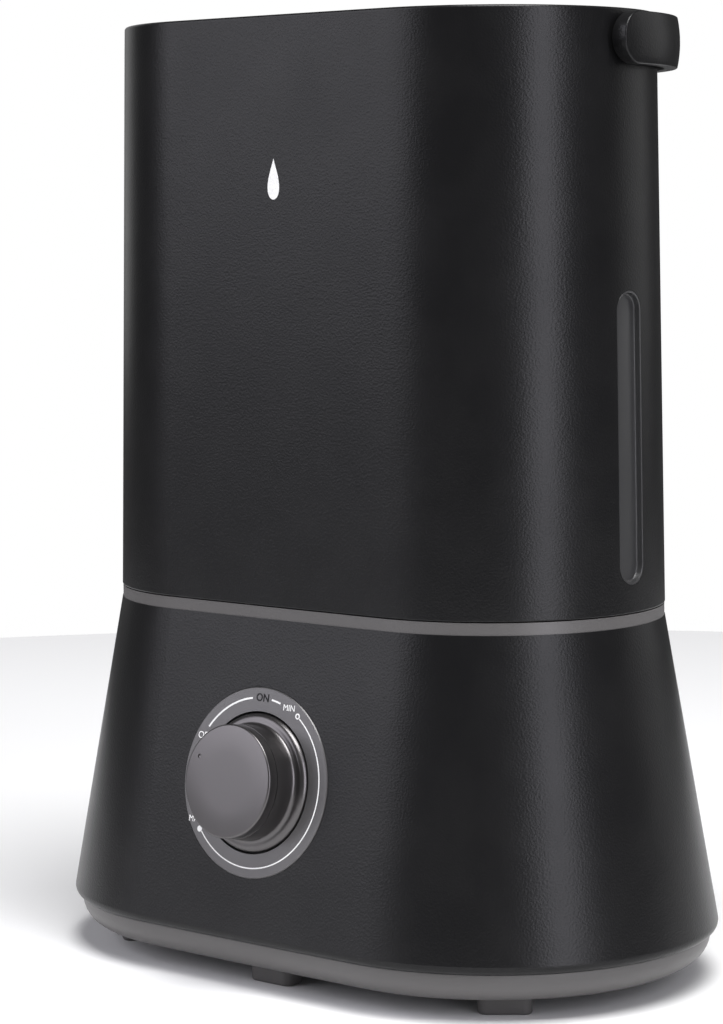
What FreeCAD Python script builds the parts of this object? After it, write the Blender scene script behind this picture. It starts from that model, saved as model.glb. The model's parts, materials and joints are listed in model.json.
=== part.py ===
"""Ultrasonic cool mist humidifier: a lift-off water tank on a flared base.

Millimetres, +Z up, front facing -Y. The origin is on the surface that the feet
stand on, under the middle of the tank. Every piece is written to
parts/NODE.step. The tank lifts straight up off the base; the carrying handle
lies folded round the back of the tank at rest, and the control knob is at OFF.
"""

import FreeCAD
import Part

import math
import os

from FreeCAD import Placement, Rotation, Vector

# ---------------------------------------------------------------- driving sizes
# Heights, stacked from the surface up
FOOT_HEIGHT = 6.5
PAN_HEIGHT = 10.0
BASE_HEIGHT = 107.7
BAND_HEIGHT = 4.1
SEAM_GAP = 0.3  # shadow line between the band and the tank
TANK_HEIGHT = 197.4

# Plan outline at the seam between tank and base: slightly bowed sides, round ends
SEAM_WIDTH = 212.0
SEAM_DEPTH = 119.0
BOW_RADIUS = 3500.0
BASE_FLARE = 19.0  # how far the base spreads on every side, from seam to foot
TANK_DRAFT = 3.4  # how far the tank narrows on every side, from seam to rim

# Walls
TANK_WALL = 3.0
BASE_WALL = 2.6
BASIN_WALL = 2.4
PAN_WALL = 2.4
RISER_WALL = 1.8

# Base shell and pan edges
BASE_EDGE_ROUND = 2.8
PAN_EDGE_ROUND = 9.0
PAN_INSET = 0.3  # shadow line between base shell and pan
MOUTH_CLEARANCE = 0.2
MOUTH_DEPTH = 4.0

# Water basin
BASIN_DEPTH = 38.0  # from the rim down to the floor's upper face
BASIN_GAP = 3.4  # between base shell and basin tub
BAND_INSET = 0.2
WELL_RADIUS = 19.0
WELL_DEPTH = 8.0
TRANSDUCER_RADIUS = 10.0
TRANSDUCER_THICKNESS = 1.2
CLAMP_BOSS_RADIUS = 3.4

# Tank
TANK_FLOOR_LIFT = 3.0
TANK_FLOOR_THICKNESS = 2.6
TRAY_RECESS = 23.0  # from the rim down to the tray's upper face
TRAY_THICKNESS = 2.5
RIM_ROUND = 1.0
SKIRT_CLEARANCE = 0.6
SKIRT_WALL = 2.0
SKIRT_DEPTH = 4.0
RISER_RADIUS = 18.0
RISER_DIP = 27.4  # how far the riser hangs below the tank's foot

# Level window, on the right-hand side
WINDOW_Y = 0.5
WINDOW_WIDTH = 13.6
WINDOW_BOTTOM = 9.3  # above the tank's foot
WINDOW_LENGTH = 96.8
WINDOW_RECESS = 2.2
WINDOW_FLANGE = 3.0
WINDOW_FLANGE_THICKNESS = 1.4

# Carrying handle
HANDLE_BAND = 17.0
HANDLE_THICKNESS = 5.4
HANDLE_GAP = 2.3
HANDLE_CROWN = 0.9
HANDLE_TOP_DROP = 1.3  # top of the handle below the rim
PIVOT_Y = -1.2
PIVOT_RADIUS = 5.0
RUNNING_CLEARANCE = 0.1
PIVOT_END_GAP = 1.1
WASHER_RADIUS = 6.5
WASHER_THICKNESS = 1.2
REST_WIDTH = 26.0
REST_HEIGHT = 2.4
REST_DEPTH = 6.0
REST_GAP = 0.3  # between pieces that rest on one another

# Dial and knob, square to the flared front face
DIAL_HEIGHT = 70.0
DIAL_GAP = 0.6  # between the knob's skirt and the plate
DIAL_RING_WIDTH = 8.1
DIAL_THICKNESS = 1.4
DIAL_PROUD = 0.4
DIAL_WELL_DEPTH = 5.0
DIAL_WELL_FLOOR = 2.5
KNOB_RADIUS = 19.5
KNOB_SKIRT_REACH = 3.9  # how far the skirt spreads beyond the knob's face
KNOB_HEIGHT = 14.2
KNOB_WALL = 2.2
SHAFT_RADIUS = 3.0
SHAFT_CLEARANCE = 0.05

# Filler neck, bayonet cap and valve
FILLER_END_INSET = 48.0
NECK_RADIUS = 22.0
NECK_WALL = 2.4
NECK_LENGTH = 17.0
CAP_CLEARANCE = 0.5
CAP_WALL = 2.4
CAP_END = 2.5
LUG_REACH = 1.6
LUG_HEIGHT = 2.4
LUG_ANGLE = 50.0
CAP_SEAL_HEIGHT = 2.0
SEAL_GAP = 0.05
VALVE_SEAT_RADIUS = 6.0
VALVE_DISC_RADIUS = 9.0
VALVE_STEM_RADIUS = 2.4
VALVE_SPRING_LENGTH = 9.0
VALVE_FOOT_GAP = 0.4

# Float
FLOAT_END_INSET = 56.0
FLOAT_SIDE_INSET = 35.5
FLOAT_RADIUS = 12.0
FLOAT_HEIGHT = 12.0
FLOAT_POST_RADIUS = 3.0
FLOAT_TRAVEL = 8.0
FLOAT_CLEARANCE = 0.5

# Fan and its air path
FAN_END_INSET = 40.0
FAN_Y = 2.0
FAN_SIZE = 50.0
FAN_HEIGHT = 15.0
FAN_BORE_RADIUS = 23.5
FAN_HUB_RADIUS = 12.0
FAN_BLADES = 7
AIR_TOWER_RADIUS = 13.0
AIR_TOWER_HEIGHT = 30.0
AIR_WALL = 2.0

# Mist outlet on top of the tank
COLLAR_RADIUS = 26.0
COLLAR_WALL = 2.4
COLLAR_HEIGHT = 9.0
OUTLET_FLANGE_THICKNESS = 2.0
PLUG_CLEARANCE = 2.6  # between the plug and the collar, taken up by the seal
OUTLET_TUBE_WALL = 2.0
OUTLET_SPIGOT_STEP = 2.0
OUTLET_SPIGOT_HEIGHT = 4.0
OUTLET_CAP_STEP = 1.5
OUTLET_CAP_HEIGHT = 13.0
OUTLET_CAP_WALL = 2.0
OUTLET_PORT_RADIUS = 5.5

# Screws
SCREW_RADIUS = 1.5
SCREW_HEAD_RADIUS = 3.0
SCREW_HEAD_HEIGHT = 2.0
PILOT_CLEARANCE = 0.05
THROUGH_CLEARANCE = 0.3
POST_RADIUS = 4.0
POST_END_INSET = 32.0  # from the outline's ends
POST_SIDE_INSET = 23.5  # from the outline's sides

# Feet
FOOT_LENGTH = 18.0
FOOT_WIDTH = 9.0
FOOT_CORNER = 3.0
FOOT_EDGE_ROUND = 0.8
CORNER_FOOT_END_INSET = 20.7
CORNER_FOOT_SIDE_INSET = 17.2
CORNER_FOOT_TURN = 38.0
MIDDLE_FOOT_INSET = 0.5

# Electronics
BOARD_END_INSET = 56.0
BOARD_Y = 8.0
BOARD_LENGTH = 72.0
BOARD_WIDTH = 46.0
BOARD_THICKNESS = 1.6
BOARD_STANDOFF = 12.0

# Cord gland at the back
GLAND_X = -45.0
GLAND_HEIGHT = 32.0
GLAND_RADIUS = 6.0
GLAND_BORE_RADIUS = 3.6
GLAND_SLEEVE_LENGTH = 10.2  # tapered sleeve outside the wall

# ---------------------------------------------------------------- derived levels
PAN_TOP_Z = FOOT_HEIGHT + PAN_HEIGHT
PAN_FLOOR_Z = FOOT_HEIGHT + PAN_WALL
SEAM_Z = PAN_TOP_Z + BASE_HEIGHT
BAND_TOP_Z = SEAM_Z + BAND_HEIGHT
TANK_FOOT_Z = BAND_TOP_Z + SEAM_GAP
RIM_Z = TANK_FOOT_Z + TANK_HEIGHT
BASIN_FLOOR_Z = BAND_TOP_Z - BASIN_DEPTH
BASIN_UNDER_Z = BASIN_FLOOR_Z - BASIN_WALL
TANK_FLOOR_Z = TANK_FOOT_Z + TANK_FLOOR_LIFT
TRAY_TOP_Z = RIM_Z - TRAY_RECESS
RISER_BOTTOM_Z = TANK_FOOT_Z - RISER_DIP
PIVOT_Z = RIM_Z - HANDLE_TOP_DROP - HANDLE_BAND / 2
TUB_GROW = -(BASE_WALL + BASIN_GAP)
TUB_INSIDE_GROW = TUB_GROW - BASIN_WALL
BOSS_TOP_Z = PAN_FLOOR_Z + 4.0
FLARE_ANGLE = math.degrees(math.atan2(BASE_FLARE, BASE_HEIGHT))
COLLAR_TOP_Z = TRAY_TOP_Z + COLLAR_HEIGHT
HALF_WIDTH = SEAM_WIDTH / 2
HALF_DEPTH = SEAM_DEPTH / 2
KNOB_SKIRT_RADIUS = KNOB_RADIUS + KNOB_SKIRT_REACH
DIAL_OPENING_RADIUS = KNOB_SKIRT_RADIUS + DIAL_GAP
DIAL_RADIUS = DIAL_OPENING_RADIUS + DIAL_RING_WIDTH
OUTLET_TUBE_RADIUS = COLLAR_RADIUS - COLLAR_WALL - PLUG_CLEARANCE
OUTLET_SPIGOT_RADIUS = OUTLET_TUBE_RADIUS - OUTLET_SPIGOT_STEP
OUTLET_CAP_RADIUS = COLLAR_RADIUS - OUTLET_CAP_STEP
POST_X = HALF_WIDTH - POST_END_INSET
POST_Y = HALF_DEPTH - POST_SIDE_INSET
CORNER_FOOT_X = HALF_WIDTH - CORNER_FOOT_END_INSET
CORNER_FOOT_Y = HALF_DEPTH - CORNER_FOOT_SIDE_INSET
MIDDLE_FOOT_Y = HALF_DEPTH - MIDDLE_FOOT_INSET
BOARD_X = BOARD_END_INSET - HALF_WIDTH
FILLER_X = FILLER_END_INSET - HALF_WIDTH
FLOAT_X = HALF_WIDTH - FLOAT_END_INSET
FLOAT_Y = FLOAT_SIDE_INSET - HALF_DEPTH
FAN_X = HALF_WIDTH - FAN_END_INSET
UP = Vector(0, 0, 1)
ALONG_X = Vector(1, 0, 0)


# ---------------------------------------------------------------- plan outline
def plan_wire(grow, z):
    """The outline at height z, grown outwards by grow: two bowed sides and two round ends."""
    half_width = SEAM_WIDTH / 2 + grow
    half_depth = SEAM_DEPTH / 2 + grow
    bow = BOW_RADIUS + grow
    # the one end radius that runs smoothly into both bowed sides
    end = (2 * bow * half_depth - half_depth**2 - half_width**2) / (2 * (bow - half_width))
    end_x = half_width - end
    slope = math.atan2(end_x, bow - half_depth)
    join_x, join_y = end_x + end * math.sin(slope), end * math.cos(slope)

    def arc(x0, y0, x1, y1, x2, y2):
        return Part.Arc(Vector(x0, y0, z), Vector(x1, y1, z), Vector(x2, y2, z)).toShape()

    return Part.Wire(
        [
            arc(-join_x, -join_y, 0, -half_depth, join_x, -join_y),
            arc(join_x, -join_y, half_width, 0, join_x, join_y),
            arc(join_x, join_y, 0, half_depth, -join_x, join_y),
            arc(-join_x, join_y, -half_width, 0, -join_x, -join_y),
        ]
    )


def straight(grow, z0, z1):
    """A solid with upright walls on the plan outline."""
    return Part.Face(plan_wire(grow, z0)).extrude(Vector(0, 0, z1 - z0))


def tapered(grow0, z0, grow1, z1):
    """A solid whose walls lean from one outline to another."""
    return Part.makeLoft([plan_wire(grow0, z0), plan_wire(grow1, z1)], True, True)


def tank_grow(z):
    """The tank's outer outline at height z."""
    return -TANK_DRAFT * (z - TANK_FOOT_Z) / TANK_HEIGHT


def base_grow(z):
    """The base shell's outer outline at height z."""
    return BASE_FLARE * (SEAM_Z - z) / BASE_HEIGHT


def tank_band(depth0, depth1, z0, z1):
    """The layer of the tank's wall between two depths under its outer surface."""
    outer = tapered(tank_grow(z0) - depth0, z0, tank_grow(z1) - depth0, z1)
    return outer.cut(tapered(tank_grow(z0) - depth1, z0, tank_grow(z1) - depth1, z1))


# ---------------------------------------------------------------- small helpers
def disc(radius, z0, z1, x=0.0, y=0.0):
    return Part.makeCylinder(radius, z1 - z0, Vector(x, y, z0), UP)


def tube(outer, inner, z0, z1, x=0.0, y=0.0):
    return disc(outer, z0, z1, x, y).cut(disc(inner, z0, z1, x, y))


def block(x, y, z0, width, depth, height):
    """A box centred on x, y."""
    return Part.makeBox(width, depth, height, Vector(x - width / 2, y - depth / 2, z0))


def fused(shapes):
    """One solid from shapes that touch or overlap."""
    first, *rest = shapes
    return first.multiFuse(rest).removeSplitter() if rest else first


def group(shapes):
    """Separate solids in one node."""
    return Part.makeCompound(shapes)


def edges_at(shape, z, length_over=0.0):
    """The edges of shape that lie in the level plane z."""
    return [
        e
        for e in shape.Edges
        if e.Length > length_over and abs(e.BoundBox.ZMin - z) < 1e-4 and abs(e.BoundBox.ZMax - z) < 1e-4
    ]


def stadium_x(y, z, width, length, x0, x1):
    """A prism along X with an upright slot's outline, whose middle is at y, z."""
    radius = width / 2
    run = length / 2 - radius
    a, b = Vector(x0, y - radius, z - run), Vector(x0, y - radius, z + run)
    c, d = Vector(x0, y + radius, z + run), Vector(x0, y + radius, z - run)
    wire = Part.Wire(
        [
            Part.makeLine(a, b),
            Part.Arc(b, Vector(x0, y, z + run + radius), c).toShape(),
            Part.makeLine(c, d),
            Part.Arc(d, Vector(x0, y, z - run - radius), a).toShape(),
        ]
    )
    return Part.Face(wire).extrude(Vector(x1 - x0, 0, 0))


def on_dial(shape):
    """Moves a shape made round local Z onto the dial: local Z points out of the front face."""
    front = -(SEAM_DEPTH / 2 + base_grow(DIAL_HEIGHT))
    shape.Placement = Placement(Vector(0, front, DIAL_HEIGHT), Rotation(ALONG_X, 90 - FLARE_ANGLE))
    return shape


def mirrored_x(shape):
    return shape.mirror(Vector(0, 0, 0), ALONG_X)


def screw_up(x, y, head_z, length, radius=SCREW_RADIUS):
    """A screw driven upwards: its head's bearing face is at head_z, with a cross recess below."""
    head = disc(SCREW_HEAD_RADIUS, head_z - SCREW_HEAD_HEIGHT, head_z, x, y)
    shank = disc(radius, head_z, head_z + length, x, y)
    slot_depth = SCREW_HEAD_HEIGHT / 2
    low = head_z - SCREW_HEAD_HEIGHT
    slot_length, slot_width = SCREW_HEAD_RADIUS * 1.3, 0.7
    cross = block(x, y, low, slot_length, slot_width, slot_depth).fuse(
        block(x, y, low, slot_width, slot_length, slot_depth)
    )
    return head.fuse(shank).cut(cross)


def revolved(points):
    """A solid of revolution about Z from corners (radius, z); three-item entries are arc middles."""
    edges = []
    place = [Vector(p[0], 0, p[1]) for p in points]
    count = len(points)
    i = 0
    while i < count:
        here, after = place[i], place[(i + 1) % count]
        if len(points[(i + 1) % count]) == 3:
            edges.append(Part.Arc(here, after, place[(i + 2) % count]).toShape())
            i += 2
        else:
            edges.append(Part.makeLine(here, after))
            i += 1
    return Part.Face(Part.Wire(edges)).revolve(Vector(0, 0, 0), UP, 360)


# ---------------------------------------------------------------- base
def post_places():
    return [(x * POST_X, y * POST_Y) for x in (-1, 1) for y in (-1, 1)]


def base_shell():
    """Flared outer housing, open above for the basin and below for the pan."""
    outer = tapered(base_grow(PAN_TOP_Z), PAN_TOP_Z, base_grow(SEAM_Z), SEAM_Z)
    outer = outer.makeFillet(BASE_EDGE_ROUND, edges_at(outer, PAN_TOP_Z))
    ledge_z = PAN_TOP_Z + BASE_EDGE_ROUND + 0.5
    cavity = tapered(base_grow(ledge_z) - BASE_WALL, ledge_z, base_grow(SEAM_Z) - BASE_WALL, SEAM_Z)
    mouth = straight(mouth_grow(), PAN_TOP_Z, ledge_z)
    shell = outer.cut(cavity.fuse(mouth))
    boss = on_dial(Part.makeCylinder(DIAL_RADIUS + 3.0, DIAL_WELL_DEPTH + DIAL_WELL_FLOOR + 1.0,
                                     Vector(0, 0, -DIAL_WELL_DEPTH - DIAL_WELL_FLOOR)))
    shell = shell.fuse(boss.common(outer))
    plate_seat = Part.makeCylinder(DIAL_RADIUS + 0.15, 10.0, Vector(0, 0, DIAL_PROUD - DIAL_THICKNESS))
    well = Part.makeCylinder(DIAL_OPENING_RADIUS + 0.6, 10.0, Vector(0, 0, -DIAL_WELL_DEPTH))
    bushing_hole = Part.makeCylinder(bushing_radius() + 0.1, 20.0, Vector(0, 0, -DIAL_WELL_DEPTH - 10.0))
    for cutter in (plate_seat, well, bushing_hole):
        shell = shell.cut(on_dial(cutter))
    return shell.cut(gland_axis_cylinder(GLAND_RADIUS - 1.0, 30.0)).removeSplitter()


def mouth_grow():
    """The outline of the shell's lower mouth, which the pan's spigot enters."""
    return BASE_FLARE - BASE_EDGE_ROUND - PAN_WALL


def pan_grow():
    return BASE_FLARE - BASE_EDGE_ROUND - PAN_INSET


def intake_slots():
    """Parallel slots in the pan under the fan, kept inside its bore."""
    pitch, width = 6.0, 3.0
    slots = []
    for i in range(-3, 4):
        offset = i * pitch
        length = 2 * math.sqrt((FAN_BORE_RADIUS - 2.0) ** 2 - (abs(offset) + width / 2) ** 2)
        slots.append(block(FAN_X + offset, FAN_Y, FOOT_HEIGHT, width, length, PAN_WALL))
    return slots


def bottom_pan():
    """Rounded tray that closes the base from below, with the air intake under the fan."""
    body = straight(pan_grow(), FOOT_HEIGHT, PAN_TOP_Z)
    body = body.makeFillet(PAN_EDGE_ROUND, edges_at(body, FOOT_HEIGHT))
    spigot_grow = mouth_grow() - MOUTH_CLEARANCE
    body = body.fuse(straight(spigot_grow, PAN_TOP_Z - 1.0, PAN_TOP_Z + MOUTH_DEPTH))
    body = body.cut(straight(spigot_grow - PAN_WALL, PAN_FLOOR_Z, PAN_TOP_Z + MOUTH_DEPTH))
    bosses = [disc(POST_RADIUS + 1.5, FOOT_HEIGHT, BOSS_TOP_Z, x, y) for x, y in post_places()]
    standoffs = [disc(3.5, FOOT_HEIGHT, board_z(), x, y) for x, y in board_screw_places()]
    body = fused([body, *bosses, *standoffs])
    for x, y in post_places():
        body = body.cut(disc(SCREW_RADIUS + THROUGH_CLEARANCE, FOOT_HEIGHT, BOSS_TOP_Z, x, y))
        body = body.cut(disc(SCREW_HEAD_RADIUS + THROUGH_CLEARANCE, FOOT_HEIGHT, screw_seat_z(), x, y))
    for x, y in board_screw_places():
        body = body.cut(disc(SCREW_RADIUS + PILOT_CLEARANCE, PAN_FLOOR_Z, board_z(), x, y))
    for slot in intake_slots():
        body = body.cut(slot)
    return body


def screw_seat_z():
    return FOOT_HEIGHT + 3.2


def pan_screws():
    return group([screw_up(x, y, screw_seat_z(), 18.0) for x, y in post_places()])


def foot_pad(x, y, turn):
    run_x, run_y = FOOT_LENGTH / 2, FOOT_WIDTH / 2
    pad = Part.makeBox(FOOT_LENGTH, FOOT_WIDTH, FOOT_HEIGHT, Vector(-run_x, -run_y, 0))
    upright = [e for e in pad.Edges if e.BoundBox.ZLength > FOOT_HEIGHT / 2]
    pad = pad.makeFillet(FOOT_CORNER, upright)
    pad = pad.makeFillet(FOOT_EDGE_ROUND, edges_at(pad, 0.0))
    pad.Placement = Placement(Vector(x, y, 0), Rotation(UP, turn))
    return pad


def foot_pads():
    """Six pads: one at each corner, and one in the middle of the front and of the back."""
    pads = [foot_pad(sx * CORNER_FOOT_X, sy * CORNER_FOOT_Y, -sx * sy * CORNER_FOOT_TURN)
            for sx in (-1, 1) for sy in (-1, 1)]
    pads += [foot_pad(0, sy * MIDDLE_FOOT_Y, 0) for sy in (-1, 1)]
    return group(pads)


def water_basin():
    """Grey tub under the tank. Its rim shows as the band between tank and base."""
    rim = straight(-BAND_INSET, SEAM_Z, BAND_TOP_Z)
    tub = straight(TUB_GROW, BASIN_UNDER_Z, BAND_TOP_Z)
    body = rim.fuse(tub)
    body = body.cut(straight(TUB_INSIDE_GROW, BASIN_FLOOR_Z, BAND_TOP_Z))
    body = body.cut(disc(WELL_RADIUS, BASIN_UNDER_Z, BASIN_FLOOR_Z))
    body = body.cut(disc(AIR_TOWER_RADIUS, BASIN_UNDER_Z, BASIN_FLOOR_Z, tower_x(), FAN_Y))
    lifting_pin = disc(3.0, BASIN_FLOOR_Z, valve_foot_z() - VALVE_FOOT_GAP, FILLER_X, 0)
    float_post = disc(FLOAT_POST_RADIUS, BASIN_FLOOR_Z, float_stop_z(), FLOAT_X, FLOAT_Y)
    return fused([body, lifting_pin, float_post])


def mist_well():
    """Cup welded under the basin's floor, where the transducer makes the mist."""
    low = BASIN_UNDER_Z - WELL_DEPTH
    bosses = [disc(CLAMP_BOSS_RADIUS, clamp_top_z(), BASIN_UNDER_Z, x, y) for x, y in transducer_screw_places()]
    body = fused([disc(WELL_RADIUS + BASIN_WALL, low, BASIN_UNDER_Z), *bosses])
    body = body.cut(disc(WELL_RADIUS, BASIN_FLOOR_Z - WELL_DEPTH, BASIN_UNDER_Z))
    body = body.cut(disc(TRANSDUCER_RADIUS - 1.5, low, BASIN_UNDER_Z))
    for x, y in transducer_screw_places():
        body = body.cut(disc(SCREW_RADIUS + PILOT_CLEARANCE, clamp_top_z(), BASIN_UNDER_Z, x, y))
    return body


def basin_posts():
    """Four posts under the basin, which the pan's screws draw down."""
    posts = []
    for x, y in post_places():
        post = disc(POST_RADIUS, BOSS_TOP_Z, BASIN_UNDER_Z, x, y)
        posts.append(post.cut(disc(SCREW_RADIUS + PILOT_CLEARANCE, BOSS_TOP_Z, BOSS_TOP_Z + 24.0, x, y)))
    return group(posts)


def air_tower():
    """Pipe on the basin's floor that lets the fan's air in above the water."""
    return tube(AIR_TOWER_RADIUS + AIR_WALL, AIR_TOWER_RADIUS, BASIN_FLOOR_Z, BASIN_FLOOR_Z + AIR_TOWER_HEIGHT,
                tower_x(), FAN_Y)


def tower_x():
    """The air tower stands clear of the basin's end wall."""
    return FAN_X + 6.0


def clamp_top_z():
    return BASIN_UNDER_Z - WELL_DEPTH - TRANSDUCER_THICKNESS


def transducer_disc():
    return disc(TRANSDUCER_RADIUS, clamp_top_z(), clamp_top_z() + TRANSDUCER_THICKNESS)


def transducer_seal():
    """Rubber ring that holds the disc's rim in its clamp."""
    return tube(TRANSDUCER_RADIUS + 3.0, TRANSDUCER_RADIUS, clamp_top_z(), clamp_top_z() + TRANSDUCER_THICKNESS)


def transducer_screw_places():
    reach = WELL_RADIUS + BASIN_WALL + CLAMP_BOSS_RADIUS + 0.6
    return [(reach * math.cos(a), reach * math.sin(a)) for a in (math.radians(30 + 120 * i) for i in range(3))]


def transducer_clamp():
    """Metal plate that holds the disc and its seal against the well."""
    reach = WELL_RADIUS + BASIN_WALL + 2 * CLAMP_BOSS_RADIUS + 1.5
    plate = disc(reach, clamp_top_z() - 2.0, clamp_top_z())
    plate = plate.cut(disc(TRANSDUCER_RADIUS - 2.0, clamp_top_z() - 2.0, clamp_top_z()))
    for x, y in transducer_screw_places():
        plate = plate.cut(disc(SCREW_RADIUS + THROUGH_CLEARANCE, clamp_top_z() - 2.0, clamp_top_z(), x, y))
    return plate


def transducer_screws():
    length = BASIN_UNDER_Z - clamp_top_z() - 0.5
    return group([screw_up(x, y, clamp_top_z() - 2.0, length) for x, y in transducer_screw_places()])


# ---------------------------------------------------------------- float
def float_stop_z():
    return BASIN_FLOOR_Z + FLOAT_CLEARANCE + FLOAT_HEIGHT + FLOAT_TRAVEL + FLOAT_CLEARANCE


def level_float():
    bottom = BASIN_FLOOR_Z + FLOAT_CLEARANCE
    ring = tube(FLOAT_RADIUS, FLOAT_POST_RADIUS + FLOAT_CLEARANCE, bottom, bottom + FLOAT_HEIGHT, FLOAT_X, FLOAT_Y)
    pocket = tube(FLOAT_POST_RADIUS + 4.0, FLOAT_POST_RADIUS + 1.5, bottom, bottom + 3.0, FLOAT_X, FLOAT_Y)
    return ring.cut(pocket)


def float_magnet():
    bottom = BASIN_FLOOR_Z + FLOAT_CLEARANCE
    return tube(FLOAT_POST_RADIUS + 4.0, FLOAT_POST_RADIUS + 1.5, bottom, bottom + 3.0, FLOAT_X, FLOAT_Y)


def float_retainer():
    """Cap pressed on the post, which keeps the float on it."""
    return disc(FLOAT_POST_RADIUS + 3.0, float_stop_z(), float_stop_z() + 2.0, FLOAT_X, FLOAT_Y)


def level_switch():
    """Sealed magnetic switch under the basin floor, below the float."""
    return disc(4.0, BASIN_UNDER_Z - 9.0, BASIN_UNDER_Z, FLOAT_X, FLOAT_Y)


# ---------------------------------------------------------------- dial and knob
def bushing_radius():
    return SHAFT_RADIUS + 1.0


def dial_plate():
    low = DIAL_PROUD - DIAL_THICKNESS
    ring = Part.makeCylinder(DIAL_RADIUS, DIAL_THICKNESS, Vector(0, 0, low))
    ring = ring.cut(Part.makeCylinder(DIAL_OPENING_RADIUS, DIAL_THICKNESS, Vector(0, 0, low)))
    outer_top = [e for e in edges_at(ring, DIAL_PROUD) if e.BoundBox.XLength > 2 * DIAL_RADIUS - 1]
    return on_dial(ring.makeChamfer(0.3, outer_top))


def knob():
    """Round knob with a coved skirt, hollow behind, with a hub for the shaft."""
    top, edge = KNOB_HEIGHT, 0.6
    skirt_low = -2.2
    cove_top = top * 0.52
    hub = SHAFT_RADIUS + 2.2
    bore = SHAFT_RADIUS + SHAFT_CLEARANCE
    lip = 1.9
    inside = KNOB_RADIUS - KNOB_WALL
    outline = [
        (0, top),
        (KNOB_RADIUS - edge, top),
        (KNOB_RADIUS - 0.18, top - 0.18, "arc"),
        (KNOB_RADIUS, top - edge),
        (KNOB_RADIUS + 0.3, cove_top),
        (KNOB_RADIUS + 1.2, lip + 1.1, "arc"),
        (KNOB_SKIRT_RADIUS - lip, lip),
        (KNOB_SKIRT_RADIUS - 0.55, lip - 0.55, "arc"),
        (KNOB_SKIRT_RADIUS, 0),
        (KNOB_SKIRT_RADIUS, skirt_low),
        (KNOB_SKIRT_RADIUS - 1.8, skirt_low),
        (KNOB_SKIRT_RADIUS - 1.8, -0.3),
        (inside, 1.5),
        (inside, top - KNOB_WALL),
        (hub, top - KNOB_WALL),
        (hub, skirt_low),
        (bore, skirt_low),
        (bore, shaft_top()),
        (0, shaft_top()),
    ]
    body = revolved(outline)
    # the shaft's flat is matched by a key in the bore
    key = Part.makeBox(2 * bore, bore, shaft_top() - skirt_low,
                       Vector(-bore, -bore - flat_depth(), skirt_low))
    key = key.common(Part.makeCylinder(bore, shaft_top() - skirt_low, Vector(0, 0, skirt_low)))
    return on_dial(body.fuse(key).removeSplitter())


def shaft_top():
    return KNOB_HEIGHT - KNOB_WALL - 1.5


def flat_depth():
    """Distance from the shaft's axis to the knob's key."""
    return SHAFT_RADIUS * 0.5


def control_shaft():
    """D-section shaft of the potentiometer, which the knob turns."""
    low = -DIAL_WELL_DEPTH - DIAL_WELL_FLOOR - 6.0
    top = shaft_top() - 0.1
    body = Part.makeCylinder(SHAFT_RADIUS, top - low, Vector(0, 0, low))
    flat_low = -2.2 - 0.2
    cut_depth = flat_depth() - SHAFT_CLEARANCE
    body = body.cut(Part.makeBox(2 * SHAFT_RADIUS, SHAFT_RADIUS, top - flat_low,
                                 Vector(-SHAFT_RADIUS, -SHAFT_RADIUS - cut_depth, flat_low)))
    return on_dial(body)


def control_body():
    """Potentiometer can, its front bushing and its three terminals."""
    face = -DIAL_WELL_DEPTH - DIAL_WELL_FLOOR
    can = Part.makeCylinder(8.5, 9.0, Vector(0, 0, face - 9.0))
    bushing = Part.makeCylinder(bushing_radius(), DIAL_WELL_FLOOR + 2.4, Vector(0, 0, face))
    terminals = [Part.makeBox(1.2, 8.0, 0.6, Vector(x - 0.6, -13.5, face - 5.0)) for x in (-5, 0, 5)]
    body = fused([can, bushing, *terminals])
    return on_dial(body.cut(Part.makeCylinder(SHAFT_RADIUS + SHAFT_CLEARANCE, 30.0, Vector(0, 0, face - 6.2))))


def control_nut():
    across = 5.8
    corners = [Vector(across * math.cos(math.radians(60 * i)), across * math.sin(math.radians(60 * i)),
                      -DIAL_WELL_DEPTH) for i in range(7)]
    nut = Part.Face(Part.makePolygon(corners)).extrude(Vector(0, 0, 2.0))
    return on_dial(nut.cut(Part.makeCylinder(bushing_radius(), 2.0, Vector(0, 0, -DIAL_WELL_DEPTH))))


# ---------------------------------------------------------------- fan and air path
def fan_frame():
    low, high = PAN_FLOOR_Z, PAN_FLOOR_Z + FAN_HEIGHT
    frame = block(FAN_X, FAN_Y, low, FAN_SIZE, FAN_SIZE, FAN_HEIGHT).cut(disc(FAN_BORE_RADIUS, low, high, FAN_X, FAN_Y))
    mount = disc(FAN_HUB_RADIUS, high - 2.0, high, FAN_X, FAN_Y)
    arms = []
    for i in range(3):
        arm = Part.makeBox(FAN_BORE_RADIUS + 1.0, 2.4, 2.0, Vector(0, -1.2, high - 2.0))
        arm.Placement = Placement(Vector(FAN_X, FAN_Y, 0), Rotation(UP, 120 * i + 20))
        arms.append(arm)
    spindle_bore = disc(1.5 + SHAFT_CLEARANCE, high - 2.0, high, FAN_X, FAN_Y)
    body = fused([frame, mount, *arms]).cut(spindle_bore)
    for x, y in fan_screw_places():
        body = body.cut(disc(SCREW_RADIUS + THROUGH_CLEARANCE, low, high, x, y))
    return body


def fan_screw_places():
    reach = FAN_SIZE / 2 - 4.0
    return [(FAN_X + x * reach, FAN_Y + y * reach) for x in (-1, 1) for y in (-1, 1)]


def fan_screws():
    """Four pins through the fan frame, with their heads on its upper face."""
    top = PAN_FLOOR_Z + FAN_HEIGHT
    return group([
        disc(SCREW_HEAD_RADIUS, top, top + 1.6, x, y).fuse(disc(SCREW_RADIUS, PAN_FLOOR_Z, top, x, y))
        for x, y in fan_screw_places()
    ])


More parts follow.
